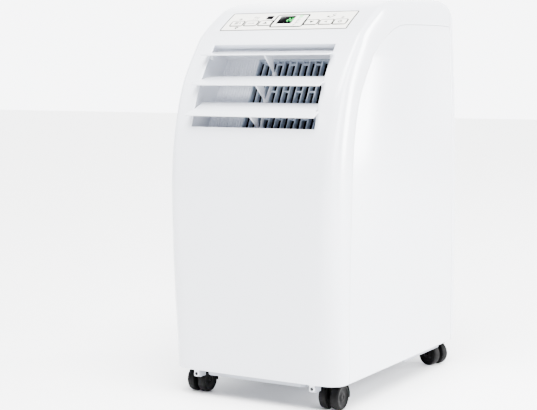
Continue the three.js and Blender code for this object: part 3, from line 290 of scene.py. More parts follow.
def soften(piece, width, segments=2, limit=35):
    """Rounds a piece's edges, as a mould or a press leaves them."""
    edge = piece.modifiers.new("rounded edges", "BEVEL")
    edge.width = width / 1000
    edge.segments = segments
    edge.limit_method = "ANGLE"
    edge.angle_limit = math.radians(limit)
    edge.harden_normals = False
    edge.use_clamp_overlap = True


def thicken(piece, thickness):
    """Gives a sheet its wall, inwards."""
    wall = piece.modifiers.new("wall", "SOLIDIFY")
    wall.thickness = thickness / 1000
    wall.offset = -1
    wall.use_even_offset = True


def bake(piece):
    """Makes a piece's modifiers part of its mesh."""
    ready = bpy.data.meshes.new_from_object(piece.evaluated_get(bpy.context.evaluated_depsgraph_get()))
    piece.modifiers.clear()
    piece.data = ready
    return ready


def settle(piece, material, slot, body, *nodes, crease=35):
    """Bakes a piece and hands it to its CAD body, in place of its CAD nodes."""
    ready = bake(piece)
    ready.materials.clear()
    ready.materials.append(material)
    ready.shade_smooth()
    ready.set_sharp_from_angle(angle=math.radians(crease))
    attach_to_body(piece, body)
    if nodes:
        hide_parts(*nodes)
    return piece


def blank(name):
    """An empty material, its tree, and the socket that gives points in metres."""
    material = bpy.data.materials.new(name)
    material.use_nodes = True
    material.node_tree.nodes.clear()
    return material, material.node_tree, add(material.node_tree, "ShaderNodeTexCoord").outputs["Object"]


def toned(tree, code, share, factor):
    """A colour that falls to a share of itself where the factor is low."""
    base = srgb(code)
    dark = tuple(c * share for c in base[:3]) + (1,)
    return add(tree, "ShaderNodeMix", {"Factor": factor, 6: dark, 7: base}, data_type="RGBA").outputs[2]


def surface(tree, inputs):
    shader = add(tree, "ShaderNodeBsdfPrincipled", inputs)
    out = add(tree, "ShaderNodeOutputMaterial")
    tree.links.new(shader.outputs[0], out.inputs["Surface"])


def moulded(name, code, rough, grain=0.6, depth=0.004, coat=0.0, shine=0.5):
    """Moulded plastic: a faint grain from the mould, and gloss that wanders a little over 150 mm."""
    material, tree, where = blank(name)
    fine = add(tree, "ShaderNodeTexNoise", {"Vector": where, "Scale": 1000 / grain, "Detail": 2})
    broad = add(tree, "ShaderNodeTexNoise", {"Vector": where, "Scale": 1000 / 150, "Detail": 1})
    gloss = add(tree, "ShaderNodeMapRange", {
        "Value": broad.outputs["Fac"], "To Min": rough - 0.02, "To Max": rough + 0.03})
    tint = toned(tree, code, 0.985, fine.outputs["Fac"])
    relief = add(tree, "ShaderNodeBump", {
        "Height": fine.outputs["Fac"], "Distance": depth / 1000, "Strength": 0.35})
    surface(tree, {
        "Base Color": tint, "Roughness": gloss.outputs[0], "Normal": relief.outputs[0],
        "Specular IOR Level": shine, "Coat Weight": coat, "Coat Roughness": 0.15})
    return material


def columns_of_shell():
    """Stations across a shell: even over the flat, finer round the corners."""
    flat = [KEPT * i / 8 for i in range(9)] + [KEPT + STRETCH]
    turned = [KEPT + STRETCH + ROUND * (i + 1) / TURN_STEPS for i in range(TURN_STEPS)]
    right = flat + turned
    return [-c for c in reversed(right[1:])] + right


def shell(name, rows, span, steps, loops):
    """A housing cover over its ruling curves, with holes given as loops of (x, t)."""
    length = 60.0 * (len(rows) - 1)
    ring = [[(column_at(rows, t, x), t * length) for x, t in loop] for loop in loops]
    stations = [length * (span[0] + (span[1] - span[0]) * i / steps) for i in range(steps + 1)]
    made = holed_sheet(name, columns_of_shell(), stations, ring,
                       lambda c, s: shell_point(rows, s / length, c))
    thicken(made, WALL)
    soften(made, 0.5, limit=60)
    return made


# A cool white with a clear glossy skin, so corners carry soft bright streaks.
white_abs = moulded("cool white gloss ABS", "#d5d8df", 0.24, coat=0.8)
FRONT_FACE = (0.0, 10 / (len(FRONT_ROWS) - 1))
outlet_t = [at_height(FRONT_ROWS, z, FRONT_FACE) for z in (OUTLET_FOOT, HEIGHT - 79)]
panel_t = [at_height(FRONT_ROWS, z, FRONT_FACE) for z in (HEIGHT - 56.1, HEIGHT - 26.7)]
OUTLET_HALF, PANEL_HALF = 108.9, 114.8
ALONG = 60.0 * (len(FRONT_ROWS) - 1)  # about the profile's length, so steps along it are near millimetres
front_loops = []
for half, (foot, head) in ((OUTLET_HALF, outlet_t), (PANEL_HALF, panel_t)):
    loop = rectangle(-half, half, foot * ALONG, head * ALONG, 4)
    front_loops.append([(x, t / ALONG) for x, t in loop])
front_foot = at_height(FRONT_ROWS, FLOOR_GAP, (0.0, 0.2))
front = shell("front_housing", FRONT_ROWS, (front_foot, 1.0), 150, front_loops)
settle(front, white_abs, "white_gloss", "root", "front_housing", crease=50)

# ---- Front screw tabs -----------------------------------------------------------------------
# Two ring-shaped ears moulded on the cover's lower edge, each with a plated pan-head screw that
# holds the cover to the base pan.
TAB_X, TAB_Z, TAB_Y = 104.2, FLOOR_GAP - 6, FRONT + 19.2


def lathe(bm, outline, place, steps=40):
    """Turns a closed outline of (along, radius), or one that starts and ends on the axis."""
    rings = []
    for k in range(steps):
        angle = 2 * math.pi * k / steps
        rings.append([bm.verts.new(place(a, r * math.cos(angle), r * math.sin(angle))) for a, r in outline])
    closed = outline[0][1] > 1e-6
    count = len(outline)
    for k in range(steps):
        one, two = rings[k], rings[(k + 1) % steps]
        for i in range(count if closed else count - 1):
            j = (i + 1) % count
            bm.faces.new((one[i], one[j], two[j], two[i]))
    bmesh.ops.remove_doubles(bm, verts=bm.verts, dist=1e-5)
    bmesh.ops.dissolve_degenerate(bm, edges=bm.edges, dist=1e-5)
    bmesh.ops.recalc_face_normals(bm, faces=bm.faces)


def pin(bm, start, end, radius, place, steps):
    lathe(bm, [(start, 0), (start, radius), (end, radius), (end, 0)], place, steps)


def prism(bm, outline, low, high, place):
    """A closed prism from a flat outline and two depths, put in space by place(a, b, depth)."""
    near, far = ([bm.verts.new(place(a, b, d)) for a, b in outline] for d in (low, high))
    faces = [bm.faces.new(near), bm.faces.new(list(reversed(far)))]
    for i in range(len(outline)):
        j = (i + 1) % len(outline)
        faces.append(bm.faces.new((near[j], near[i], far[i], far[j])))
    bmesh.ops.recalc_face_normals(bm, faces=faces)


def along_y(x, z):
    return lambda a, u, v: Vector((x + u, a, z + v))


def along_x(a, b, depth):
    return Vector((depth, a, b))


def attach(piece, *others):
    """Joins other meshes into a piece as further closed bodies of the same moulding."""
    bm = bmesh.new()
    bm.from_mesh(piece.data)
    for other in others:
        bm.from_mesh(bake(other))
        bpy.data.objects.remove(other)
    bm.to_mesh(piece.data)
    bm.free()


ears = bmesh.new()
for x in (-TAB_X, TAB_X):
    lathe(ears, [(TAB_Y, 1.9), (TAB_Y, 4.6), (TAB_Y + 2.4, 4.6), (TAB_Y + 2.4, 1.9)], along_y(x, TAB_Z), 32)
    neck = corners((x - 4.5, x + 4.5), (TAB_Z + 3.2, FLOOR_GAP + 4))
    prism(ears, neck, TAB_Y + 0.05, TAB_Y + 2.3, lambda a, b, d: Vector((a, d, b)))
ears = new_object("front_ears", ears)
soften(ears, 0.35)
attach(front, ears)
front.data.shade_smooth()
front.data.set_sharp_from_angle(angle=math.radians(50))


def plated(name, code, rough, mark=2.0):
    """Plated or bright metal with fine drawn scratches across each length of about mark mm."""
    material, tree, where = blank(name)
    pull = add(tree, "ShaderNodeMapping", {"Vector": where, "Scale": (1, 1, 6)})
    drawn = add(tree, "ShaderNodeTexNoise", {"Vector": pull.outputs[0], "Scale": 1000 / mark, "Detail": 4})
    gloss = add(tree, "ShaderNodeMapRange", {
        "Value": drawn.outputs["Fac"], "To Min": rough - 0.06, "To Max": rough + 0.08})
    tint = toned(tree, code, 0.9, drawn.outputs["Fac"])
    surface(tree, {
        "Base Color": tint, "Roughness": gloss.outputs[0], "Metallic": 1.0})
    return material


# Plain plated steel for cases and motors. The cover screws' heads are darkened to near black as painted shade
# for their shaded cross recesses, and read as dark dots.
zinc = plated("zinc-plated steel", "#a3a5a8", 0.42)
screw_steel_painted_shade = plated("zinc-plated steel darkened as painted shade", "#2a2b2d", 0.4)
for name, x in (("front_screw_left", -TAB_X), ("front_screw_right", TAB_X)):
    screw = bmesh.new()
    seat = TAB_Y - 0.3
    lathe(screw, [(seat - 1.0, 0), (seat - 1.0, 0.8), (seat - 1.55, 1.0), (seat - 1.35, 1.9),
                  (seat - 0.8, 2.5), (seat - 0.1, 2.8), (seat, 2.7), (seat, 1.55), (TAB_Y + 11, 1.55),
                  (TAB_Y + 12, 0.8), (TAB_Y + 12, 0)], along_y(x, TAB_Z), 28)
    settle(new_object(name, screw), screw_steel_painted_shade, "zinc", "root", name)

# ---- Rear housing ---------------------------------------------------------------------------
# A second gloss ABS moulding that makes the back and the rear corners, hooked to the front cover
# across the top. It holds the two filter doors, the exhaust collar, the gland and the drain.
REAR_ROWS = [
    (BACK - 53.5, HEIGHT - 3.8, BACK - 53.4, HEIGHT - 44.8, 18),
    (BACK - 43, HEIGHT - 8, BACK - 53.1, HEIGHT - 45.6, 18),
    (BACK - 33, HEIGHT - 14.4, BACK - 52.7, HEIGHT - 46.8, 19),
    (BACK - 27.5, HEIGHT - 24, BACK - 52.3, HEIGHT - 48.4, 20),
    (BACK - 25, HEIGHT - 38, BACK - 51.9, HEIGHT - 51, 21),
    (BACK - 21.5, HEIGHT - 67, BACK - 51, HEIGHT - 67, 22),
    (BACK - 16, HEIGHT - 105, BACK - 48, HEIGHT - 105, 24),
    (BACK - 9, HEIGHT - 155, BACK - 42, HEIGHT - 155, 26),
    (BACK - 4.6, HEIGHT - 205, BACK - 37.5, HEIGHT - 205, 28),
    (BACK - 1.6, HEIGHT - 290, BACK - 32, HEIGHT - 290, 28),
    (BACK, HEIGHT - 382, BACK - 31, HEIGHT - 382, 28),
    (BACK, FLOOR_GAP + 60, BACK - 30, FLOOR_GAP + 60, 28),
    (BACK, FLOOR_GAP - 14, BACK - 30, FLOOR_GAP - 14, 28),
]
REAR_FACE = (4 / (len(REAR_ROWS) - 1), 1.0)


def rear_t(z):
    return at_height(REAR_ROWS, z, REAR_FACE)


def rear_round(x, z, radius, count):
    """A round hole in the back, as a loop of (x, t)."""
    turns = [2 * math.pi * k / count for k in range(count)]
    return [(x + radius * math.cos(a), rear_t(z + radius * math.sin(a))) for a in turns]


DOORS = {"upper": (112, 400, 566), "lower": (108, 96, 244)}  # half width, foot and head
rear_loops = [[(x, rear_t(z)) for x, z in rectangle(-half - 1, half + 1, foot - 1, head + 1, 4)]
              for half, foot, head in DOORS.values()]
rear_loops += [rear_round(10, 315, 63.3, 72), rear_round(-70, 77, 8.3, 28), rear_round(118, 262, 8.3, 28)]
rear = shell("rear_housing", REAR_ROWS, (0.0, rear_t(FLOOR_GAP + 5.7)), 132, rear_loops)
settle(rear, white_abs, "white_gloss", "root", "rear_housing", crease=50)

# ---- Side panels ----------------------------------------------------------------------------
# Two flat gloss ABS panels that snap in between the two covers. Each one's edge follows the
# covers' seams with a half-millimetre shadow line, and is rounded over.
seam_up = [spline([row[2:4] for row in FRONT_ROWS], i / 180) for i in range(181)]
seam_down = [spline([row[2:4] for row in REAR_ROWS], 1 / 3 + i / 135) for i in range(91)]


def side_outline():
    points = [p for p in seam_up if p[1] > FLOOR_GAP + 1]
    moved = []
    for i, (y, z) in enumerate(points):
        (y0, z0), (y1, z1) = points[max(i - 1, 0)], points[min(i + 1, len(points) - 1)]
        size = math.hypot(y1 - y0, z1 - z0)
        moved.append((y + (z1 - z0) / size * JOINT_LINE, z - (y1 - y0) / size * JOINT_LINE))
    moved = [p for p in moved if p[0] < BACK - 55]
    down = [(y - JOINT_LINE, z) for y, z in seam_down if z > FLOOR_GAP + 1]
    return [(moved[0][0], FLOOR_GAP), *moved, *down, (down[-1][0], FLOOR_GAP)]


for name, span in (("left_side_panel", (-SIDE, -SIDE + WALL)), ("right_side_panel", (SIDE - WALL, SIDE))):
    plate = bmesh.new()
    prism(plate, side_outline(), *span, along_x)
    plate = new_object(name, plate)
    soften(plate, 0.9, segments=3, limit=40)
    settle(plate, white_abs, "white_gloss", "root", name)

# ---- Base pan -------------------------------------------------------------------------------
# A tray of grey polypropylene that carries the compressor and catches drips, with shallow keels
# under it, lugs for the screws and four sockets for the casters' stems.


def refine(node, width, segments=2, limit=30):
    """A copy of a CAD solid with its facets merged and its edges rounded."""
    bm = bmesh.new()
    bm.from_mesh(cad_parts[node].data)
    bmesh.ops.remove_doubles(bm, verts=bm.verts, dist=1e-6)
    bmesh.ops.dissolve_limit(bm, angle_limit=math.radians(0.5), verts=bm.verts, edges=bm.edges)
    made = new_object(node + "_look", bm, 1.0)
    soften(made, width, segments, limit)
    return made


# Both duller than the covers. The tray's grey is darkened as painted shadow, so it shows as a shadow line at
# the foot, under the covers' edge.
pale_pp = moulded("pale grey polypropylene", "#c6cad3", 0.42, grain=0.9)
pan_pp_painted_shadow = moulded("grey polypropylene", "#8f939c", 0.5, grain=0.9)
settle(refine("base_pan", 0.6), pan_pp_painted_shadow, "pale_grey", "root", "base_pan")

# ---- Casters --------------------------------------------------------------------------------
# Stock 40 mm twin-wheel casters: a black nylon web with a hood over both wheels, a steel axle and
# a stem that plugs into the base. Each wheel is nylon, with a dished face and a worn tread.
# Near-black with hardly any sheen; the wheels a touch greyer than the hood.
nylon = moulded("black nylon", "#020202", 0.5, grain=1.2, depth=0.02, shine=0.08)
tread_nylon = moulded("black nylon of the wheels", "#040405", 0.6, grain=1.5, depth=0.03, shine=0.1)
axle_steel = plated("black oxide axle steel", "#0b0b0c", 0.5)
WHEEL, WIDE, WEB, TRAIL = 20.0, 13.0, 7.0, 10.0
HOOD = WHEEL + 0.7 + 1.4
TWIN = WEB / 2 + 0.5 + WIDE


def arc(radius, start, end, steps):
    turns = [math.radians(start + (end - start) * i / steps) for i in range(steps + 1)]
    return [(radius * math.cos(a), radius * math.sin(a)) for a in turns]


def caster(name, x, y, angle):
    """One caster, drawn about its axle and then turned about its stem."""
    stand = Matrix.Translation((x, y, WHEEL)) @ Matrix.Rotation(math.radians(angle), 4, "Z") \
        @ Matrix.Translation((0, -TRAIL, 0))
    label = f"caster_{name}"

    def place(a, b, depth):
        return stand @ Vector((depth, a, b))

    def turned(a, u, v):
        return stand @ Vector((a, u, v))

    fork = bmesh.new()
    prism(fork, [(0, -3), *arc(HOOD - 0.7, -25, 130, 22)], -WEB / 2 + 0.05, WEB / 2 - 0.05, place)
    lathe(fork, [(-WEB / 2, 2.8), (-WEB / 2, 7), (WEB / 2, 7), (WEB / 2, 2.8)], turned, 32)
    prism(fork, [*arc(HOOD, -12, 125, 26), *reversed(arc(WHEEL + 0.75, -12, 125, 26))], -TWIN, TWIN, place)
    lathe(fork, [(12, 0), (12, 5.4), (HOOD + 9, 5.4), (HOOD + 10.8, 4.2), (HOOD + 10.8, 0)],
          lambda a, u, v: stand @ Vector((u, TRAIL + v, a)), 28)
    fork = new_object(label + "_fork", fork)
    soften(fork, 0.45)
    settle(fork, nylon, "black_plastic", label, f"{label}_body")

    axle = bmesh.new()
    end = TWIN - 1.5
    lathe(axle, [(-end, 0), (-end, 2.0), (-end + 0.5, 2.5), (end - 0.5, 2.5), (end, 2.0), (end, 0)],
          turned, 24)
    settle(new_object(label + "_pin", axle), axle_steel, "steel", label, f"{label}_axle")

    for side, word in ((-1, "left"), (1, "right")):
        x0, x1 = WEB / 2 + 0.5, WEB / 2 + 0.5 + WIDE
        outline = [(x0, 2.8), (x0, 18.9), (x0 + 0.5, 19.7), (x0 + 1.6, 20), (x1 - 3.6, 20), (x1 - 2.2, 19.7),
                   (x1 - 1.0, 19), (x1 - 0.2, 17.9), (x1, 16.9), (x1 - 0.3, 16.1), (x1 - 1.6, 15.4),
                   (x1 - 2.6, 13), (x1 - 2.8, 9), (x1 - 2.1, 6.4), (x1 - 1.2, 5.6), (x1 - 1.0, 4.4),
                   (x1 - 1.2, 2.8)]
        wheel = bmesh.new()
        lathe(wheel, [(side * a, r) for a, r in outline], turned, 56)
        settle(new_object(f"{label}_{word}_roller", wheel), tread_nylon, "black_plastic",
               f"{label}_{word}_wheel", f"{label}_wheel_{word}")


for name, x, y, angle in (("front_left", -120, -168, 0), ("front_right", 120, -168, 0),
                          ("rear_left", -114, 196, -25), ("rear_right", 114, 196, 71)):
    caster(name, x, y, angle)

# ---- Outlet duct ----------------------------------------------------------------------------
# A pale polystyrene duct behind the outlet. Its back is closed on the left by a wall with fine
# upright ribs, and open on the right to the blower's mouth.
O_FOOT, O_HEAD = (Vector(profile(FRONT_ROWS, t)) for t in outlet_t)
O_UP = (O_HEAD - O_FOOT).normalized()
O_OUT = Vector((-O_UP.y, O_UP.x))
O_LENGTH = (O_HEAD - O_FOOT).length
DUCT_DEPTH, DUCT_SIDE, GUARD_LEFT, GUARD_DEEP = 48.0, 112.0, -51.0, 10.0


def in_outlet(x, up, out):
    """A point across the outlet, up its chord and outwards from it."""
    p = O_FOOT + O_UP * up + O_OUT * out
    return Vector((x, p.x, p.y))


def row_tree():
    """Geometry nodes that set copies of one piece in a straight row, with every other one shifted."""
    tree = bpy.data.node_groups.new("row of one piece", "GeometryNodeTree")
    for name, kind in (("Base", "Geometry"), ("Piece", "Object"), ("Count", "Int"), ("Step", "Vector"),
                       ("Odd shift", "Vector"), ("Material", "Material")):
        tree.interface.new_socket(name, in_out="INPUT", socket_type="NodeSocket" + kind)
    tree.interface.new_socket("Result", in_out="OUTPUT", socket_type="NodeSocketGeometry")
    given = add(tree, "NodeGroupInput")
    line = add(tree, "GeometryNodeMeshLine", {
        "Count": given.outputs["Count"], "Offset": given.outputs["Step"]})
    order = add(tree, "GeometryNodeInputIndex")
    odd = add(tree, "ShaderNodeMath", {0: order.outputs[0], 1: 2.0}, operation="MODULO")
    shift = add(tree, "ShaderNodeVectorMath", {
        0: given.outputs["Odd shift"], "Scale": odd.outputs[0]}, operation="SCALE")
    moved = add(tree, "GeometryNodeSetPosition", {"Geometry": line.outputs[0], "Offset": shift.outputs[0]})
    source = add(tree, "GeometryNodeObjectInfo", {"Object": given.outputs["Piece"], "As Instance": True})
    copies = add(tree, "GeometryNodeInstanceOnPoints", {
        "Points": moved.outputs[0], "Instance": source.outputs["Geometry"]})
    both = add(tree, "GeometryNodeJoinGeometry", {"Geometry": given.outputs["Base"]})
    tree.links.new(copies.outputs[0], both.inputs[0])
    real = add(tree, "GeometryNodeRealizeInstances", {"Geometry": both.outputs[0]})
    painted = add(tree, "GeometryNodeSetMaterial", {
        "Geometry": real.outputs[0], "Material": given.outputs["Material"]})
    result = add(tree, "NodeGroupOutput")
    tree.links.new(painted.outputs[0], result.inputs[0])
    return tree


ROW = row_tree()


def repeat(base, piece, count, step, material, odd_shift=(0, 0, 0)):
    """Adds a row of one piece to a base. Steps are in millimetres."""
    values = {"Piece": piece, "Count": count, "Step": [v / 1000 for v in step],
              "Odd shift": [v / 1000 for v in odd_shift], "Material": material}
    rows = base.modifiers.new("row", "NODES")
    rows.node_group = ROW
    for item in ROW.interface.items_tree:
        if item.in_out == "INPUT" and item.name in values:
            rows[item.identifier] = values[item.name]
    bake(base)
    bpy.data.objects.remove(piece)


def bar(name, x, up, out, width=0.4, place=in_outlet):
    """A straight bar with rounded edges, from three spans in a chord's frame."""
    bm = bmesh.new()
    prism(bm, corners(up, out), *x, lambda a, b, d: place(d, a, b))
    made = new_object(name, bm)
    soften(made, width)
    return made


duct = refine("outlet_duct", 0.5)
rib = bar("duct_rib", (-108.6, -107.4), (2, O_LENGTH - 2), (-DUCT_DEPTH - 0.4, -DUCT_DEPTH + 1.3), 0.3)
repeat(duct, rib, 12, (4.9, 0, 0), pale_pp)
settle(duct, pale_pp, "pale_grey", "root", "outlet_duct")

# ---- Finger guard ---------------------------------------------------------------------------
# One moulded grid of deep upright bars across the blower's mouth, tied to each other by short
# cross bars that stand higher in every other gap. Two rails hold the bars' ends.
g0, g1 = GUARD_LEFT + 0.3, DUCT_SIDE - 0.3
BARS, BAR = 15, 2.2
g_pitch = (g1 - g0 - BAR) / (BARS - 1)
g_out = (-DUCT_DEPTH - GUARD_DEEP, -DUCT_DEPTH)
# A blue-grey: partly the guard's own colour, partly painted shade, a mid tone between the bars' lit front
# edges and their shaded flanks. It darkens quickly between the deep bars.
guard_pp_with_shade = moulded("blue-grey polypropylene", "#919cac", 0.45, grain=0.9)
guard = bmesh.new()
for rail in ((0.4, 3.3), (O_LENGTH - 3.3, O_LENGTH - 0.4)):
    prism(guard, corners(rail, g_out), g0, g1, lambda a, b, d: in_outlet(d, a, b))
guard = new_object("guard_grid", guard)
soften(guard, 0.4)
upright = bar("guard_bar", (g0, g0 + BAR), (0.5, O_LENGTH - 0.5), g_out, 0.7)
repeat(guard, upright, BARS, (g_pitch, 0, 0), guard_pp_with_shade)
lift = in_outlet(0, 24, 0) - in_outlet(0, 0, 0)
for foot in (14, 62, 110):
    tie = bar("guard_tie", (g0 + 1, g0 + g_pitch + 1), (foot, foot + BAR), (g_out[1] - 5, g_out[1] - 1), 0.4)
    repeat(guard, tie, BARS - 1, (g_pitch, 0, 0), guard_pp_with_shade, lift)
settle(guard, guard_pp_with_shade, "pale_grey", "root", "outlet_guard")

# ---- Louvres and link bar -------------------------------------------------------------------
# Three curved gloss ABS blades on side pivots, tilted open together by a slim bar that joins
# their back arms. Each blade's lower half laps over the outlet's edges, its upper half fits in.
OPEN = math.radians(47)
NARROW, BROAD, BLADE_IN, BLADE_OUT, PIVOT = 107.4, 113.4, 0.4, 2.6, 6.0
ARM = (30 * math.cos(math.radians(-57)), 30 * math.sin(math.radians(-57)))


def off_curve(rows, t, out):
    """A point moved outwards from a profile, and the way the profile runs there."""
    step = 1e-4
    here = Vector(profile(rows, t))
    ahead = (Vector(profile(rows, min(t + step, 1))) - Vector(profile(rows, t - step))).normalized()
    return (here.x - ahead.y * out, here.y + ahead.x * out), ahead


for order, name in enumerate(("top", "middle", "bottom")):
    share = (outlet_t[1] - outlet_t[0]) / 3
    t0 = outlet_t[0] + share * (2 - order)
    t1 = t0 + share
    middle = (t0 + t1) / 2
    per_mm = share / (O_LENGTH / 3)
    foot, head = t0 + 0.5 * per_mm, t1 - (2.5 if name == "top" else 0.5) * per_mm
    lap = middle - share * 0.083
    (py, pz), ahead = off_curve(FRONT_ROWS, middle, -PIVOT)
    to_pivot = Matrix.Translation((0, py, pz))
    swing = to_pivot @ Matrix.Rotation(-OPEN, 4, "X") @ to_pivot.inverted()
    blade = bmesh.new()
    stops = [foot + (head - foot) * i / 20 for i in range(21)]
    outer, inner = ([off_curve(FRONT_ROWS, t, out)[0] for t in stops] for out in (BLADE_OUT, BLADE_IN))
    cut = max(i for i, t in enumerate(stops) if t <= lap)
    grid = {}
    for k, x in enumerate((-BROAD, -NARROW, NARROW, BROAD)):
        for i in range(21):
            if k in (1, 2) or i <= cut:
                for layer, points in ((0, outer), (1, inner)):
                    grid[k, i, layer] = blade.verts.new((x, *points[i]))
    for k in range(3):
        for i in range(20):
            if k == 1 or i < cut:
                for layer in (0, 1):
                    blade.faces.new([grid[k, i, layer], grid[k + 1, i, layer],
                                     grid[k + 1, i + 1, layer], grid[k, i + 1, layer]])
    edges = [(k, 0, k + 1, 0) for k in range(3)] + [(1, 20, 2, 20), (0, cut, 1, cut), (2, cut, 3, cut)]
    edges += [(k, i, k, i + 1) for k in (0, 3) for i in range(cut)]
    edges += [(k, i, k, i + 1) for k in (1, 2) for i in range(cut, 20)]
    for a, b, c, d in edges:
        blade.faces.new([grid[a, b, 0], grid[c, d, 0], grid[c, d, 1], grid[a, b, 1]])
    bmesh.ops.recalc_face_normals(blade, faces=blade.faces)
    bmesh.ops.transform(blade, matrix=swing, verts=blade.verts)
    blade = new_object(f"louvre_{name}_blade", blade)
    soften(blade, 0.75, segments=3)

    fittings = bmesh.new()
    up = Matrix.Rotation(-OPEN, 2) @ Vector((ahead.x, ahead.y)).normalized()
    out = Vector((-up.y, up.x))

    def near_pivot(w, o):
        return (py + up.x * w + out.x * o, pz + up.y * w + out.y * o)

    def about(centre):
        return lambda a, u, v: Vector((a, centre[0] + u, centre[1] + v))

    for side in (-1, 1):
        lug = [near_pivot(w, o) for w, o in corners((-3.3, 3.3), (0, PIVOT + 1.2))]
        prism(fittings, lug, side * (NARROW - 2), side * NARROW, along_x)
        pin(fittings, side * (NARROW - 2.02), side * (NARROW - 0.02), 3.35, about((py, pz)), 28)
        pin(fittings, side * (NARROW - 1), side * 114.1, 1.95, about((py, pz)), 20)
    tip = (py + ARM[0], pz + ARM[1])
    prism(fittings, [near_pivot(-15, PIVOT + 1), tip, near_pivot(12, PIVOT + 1)], -5.25, -2.75, along_x)
    pin(fittings, -5.2, -2.8, 3.6, about(tip), 24)
    pin(fittings, -5, 0.9, 1.75, about(tip), 16)
    fittings = new_object("louvre_fittings", fittings)
    soften(fittings, 0.25)
    bake(blade)
    attach(blade, fittings)
    settle(blade, white_abs, "white_gloss", f"louvre_{name}", f"louvre_{name}")
settle(refine("louvre_link_bar", 0.3), pale_pp, "pale_grey", "louvre_link", "louvre_link_bar")

# ---- Control panel --------------------------------------------------------------------------
# A warm white ABS plate set flush in the slope, with windows for six keys, the receiver and the
# display. A printed outline runs round the display, and small printed signs mark the keys.
P_FOOT, P_HEAD = (Vector(profile(FRONT_ROWS, t)) for t in panel_t)
P_UP = (P_HEAD - P_FOOT).normalized()
P_OUT = Vector((-P_UP.y, P_UP.x))
P_LENGTH = (P_HEAD - P_FOOT).length
# A satin white, warmer than the covers, that sets the panel off.
warm_abs = moulded("warm white satin ABS", "#dddbd5", 0.4)


def crown_at(w):
    """The parameter and height over the chord where the curved plate stands at w."""
    low, _ = bisect(*panel_t, lambda t: (Vector(profile(FRONT_ROWS, t)) - P_FOOT).dot(P_UP) < w)
    return low, (Vector(profile(FRONT_ROWS, low)) - P_FOOT).dot(P_OUT)


def on_panel(x, w, out):
    """A point on the plate: across, up its chord, and outwards from its curved face."""
    p = P_FOOT + P_UP * w + P_OUT * (crown_at(w)[1] + out)
    return Vector((x, p.x, p.y))


def in_panel(x, w, out):
    """The same, but outwards from the flat chord."""
    p = P_FOOT + P_UP * w + P_OUT * out
    return Vector((x, p.x, p.y))


def rounded(x, w, width, height, radius, corner=5):
    """A loop round a rectangle with round corners."""
    loop = []
    for sx, sw, start in ((1, -1, -90), (1, 1, 0), (-1, 1, 90), (-1, -1, 180)):
        cx, cw = x + sx * (width / 2 - radius), w + sw * (height / 2 - radius)
        loop += [(cx + a, cw + b) for a, b in arc(radius, start, start + 90, corner)]
    return loop


KEYS = [-91, -64.7, -38.6, 44.6, 70.6, 95]
KEY_W, KEY_SIZE = 21.0, (20.6, 12.6)
DISPLAY, RECEIVER = (-5.5, 30.7, 27.0, 23.5), (-38.5, 38.6, 12.0, 11.0)
holes = [rounded(x, KEY_W, KEY_SIZE[0] + 0.7, KEY_SIZE[1] + 0.7, 2.3) for x in KEYS]
holes += [rounded(x, w, a + 0.5, b + 0.5, 1.0) for x, w, a, b in (DISPLAY, RECEIVER)]
columns = [-114.5 + 229 * i / 40 for i in range(41)]
stations = [P_LENGTH * i / 16 for i in range(17)]
plate = holed_sheet("panel_plate", columns, stations, holes, lambda x, w: on_panel(x, w, 0))
thicken(plate, 2.4)
soften(plate, 0.3, limit=60)
settle(plate, warm_abs, "panel_white", "root", "control_panel", crease=50)

for number, x in enumerate(KEYS, 1):
    level = crown_at(KEY_W)[1]
    key = bmesh.new()
    prism(key, rounded(x, KEY_W, *KEY_SIZE, 2.0), level - 4.5, level + 0.7, in_panel)
    prism(key, rounded(x, KEY_W, KEY_SIZE[0] + 2, KEY_SIZE[1] + 2, 2.0), level - 4.55, level - 3.45, in_panel)
    key = new_object(f"key_{number}", key)
    soften(key, 0.45, segments=3)
    settle(key, warm_abs, "panel_white", f"button_{number}", f"button_{number}")

# ---- Panel printing and windows -------------------------------------------------------------
# Dark tinted acrylic windows over the display and the receiver, and screen-printed ink a few
# hundredths of a millimetre thick. Lit digits and lamps show green.


def tinted(name, code, rough):
    """Dark acrylic with a polished face and the faint haze of a wiped surface."""
    material, tree, where = blank(name)
    haze = add(tree, "ShaderNodeTexNoise", {
        "Vector": where, "Scale": 1000 / 8, "Detail": 3})
    gloss = add(tree, "ShaderNodeMapRange", {
        "Value": haze.outputs["Fac"], "To Min": rough, "To Max": rough + 0.06})
    surface(tree, {
        "Base Color": srgb(code), "Roughness": gloss.outputs[0], "Specular IOR Level": 0.06})
    return material


def lit(name, code, power):
    """A lamp or digit segment that glows through its window."""
    material, tree, where = blank(name)
    grain = add(tree, "ShaderNodeTexNoise", {"Vector": where, "Scale": 1000 / 0.8})
    spread = add(tree, "ShaderNodeMapRange", {
        "Value": grain.outputs["Fac"], "To Min": power * 0.8, "To Max": power * 1.2})
    surface(tree, {
        "Base Color": srgb(code), "Emission Color": srgb(code), "Emission Strength": spread.outputs[0]})
    return material


# Flat black windows, and ink without sheen. Lines are drawn 1 to 3 mm wide, as coarse as they need
# to be to show.
acrylic = tinted("dark tinted acrylic", "#030304", 0.12)
ink = moulded("dark grey screen ink", "#0e0f11", 0.7, shine=0.05)
pale_ink = moulded("mid grey screen ink", "#34373c", 0.7, shine=0.05)
green_glow = lit("green lamp", "#12b24a", 0.9)
for name, (x, w, width, height) in (("display_window", DISPLAY), ("receiver_window", RECEIVER)):
    level = crown_at(w)[1]
    pane = bmesh.new()
    prism(pane, rounded(x, w, width - 0.1, height - 0.1, 0.8), level - 1.4, level - 0.1, in_panel)
    pane = new_object(name + "_pane", pane)
    soften(pane, 0.2)
    settle(pane, acrylic, "gloss_black", "root", name)

PRINT = (-0.05, 0.07)  # how far the ink stands off its face
KEY_LEVEL = crown_at(KEY_W)[1] + 0.7


def on_key(x, w, out):
    """A point on the flat top of the keys."""
    return in_panel(x, w, KEY_LEVEL + out)


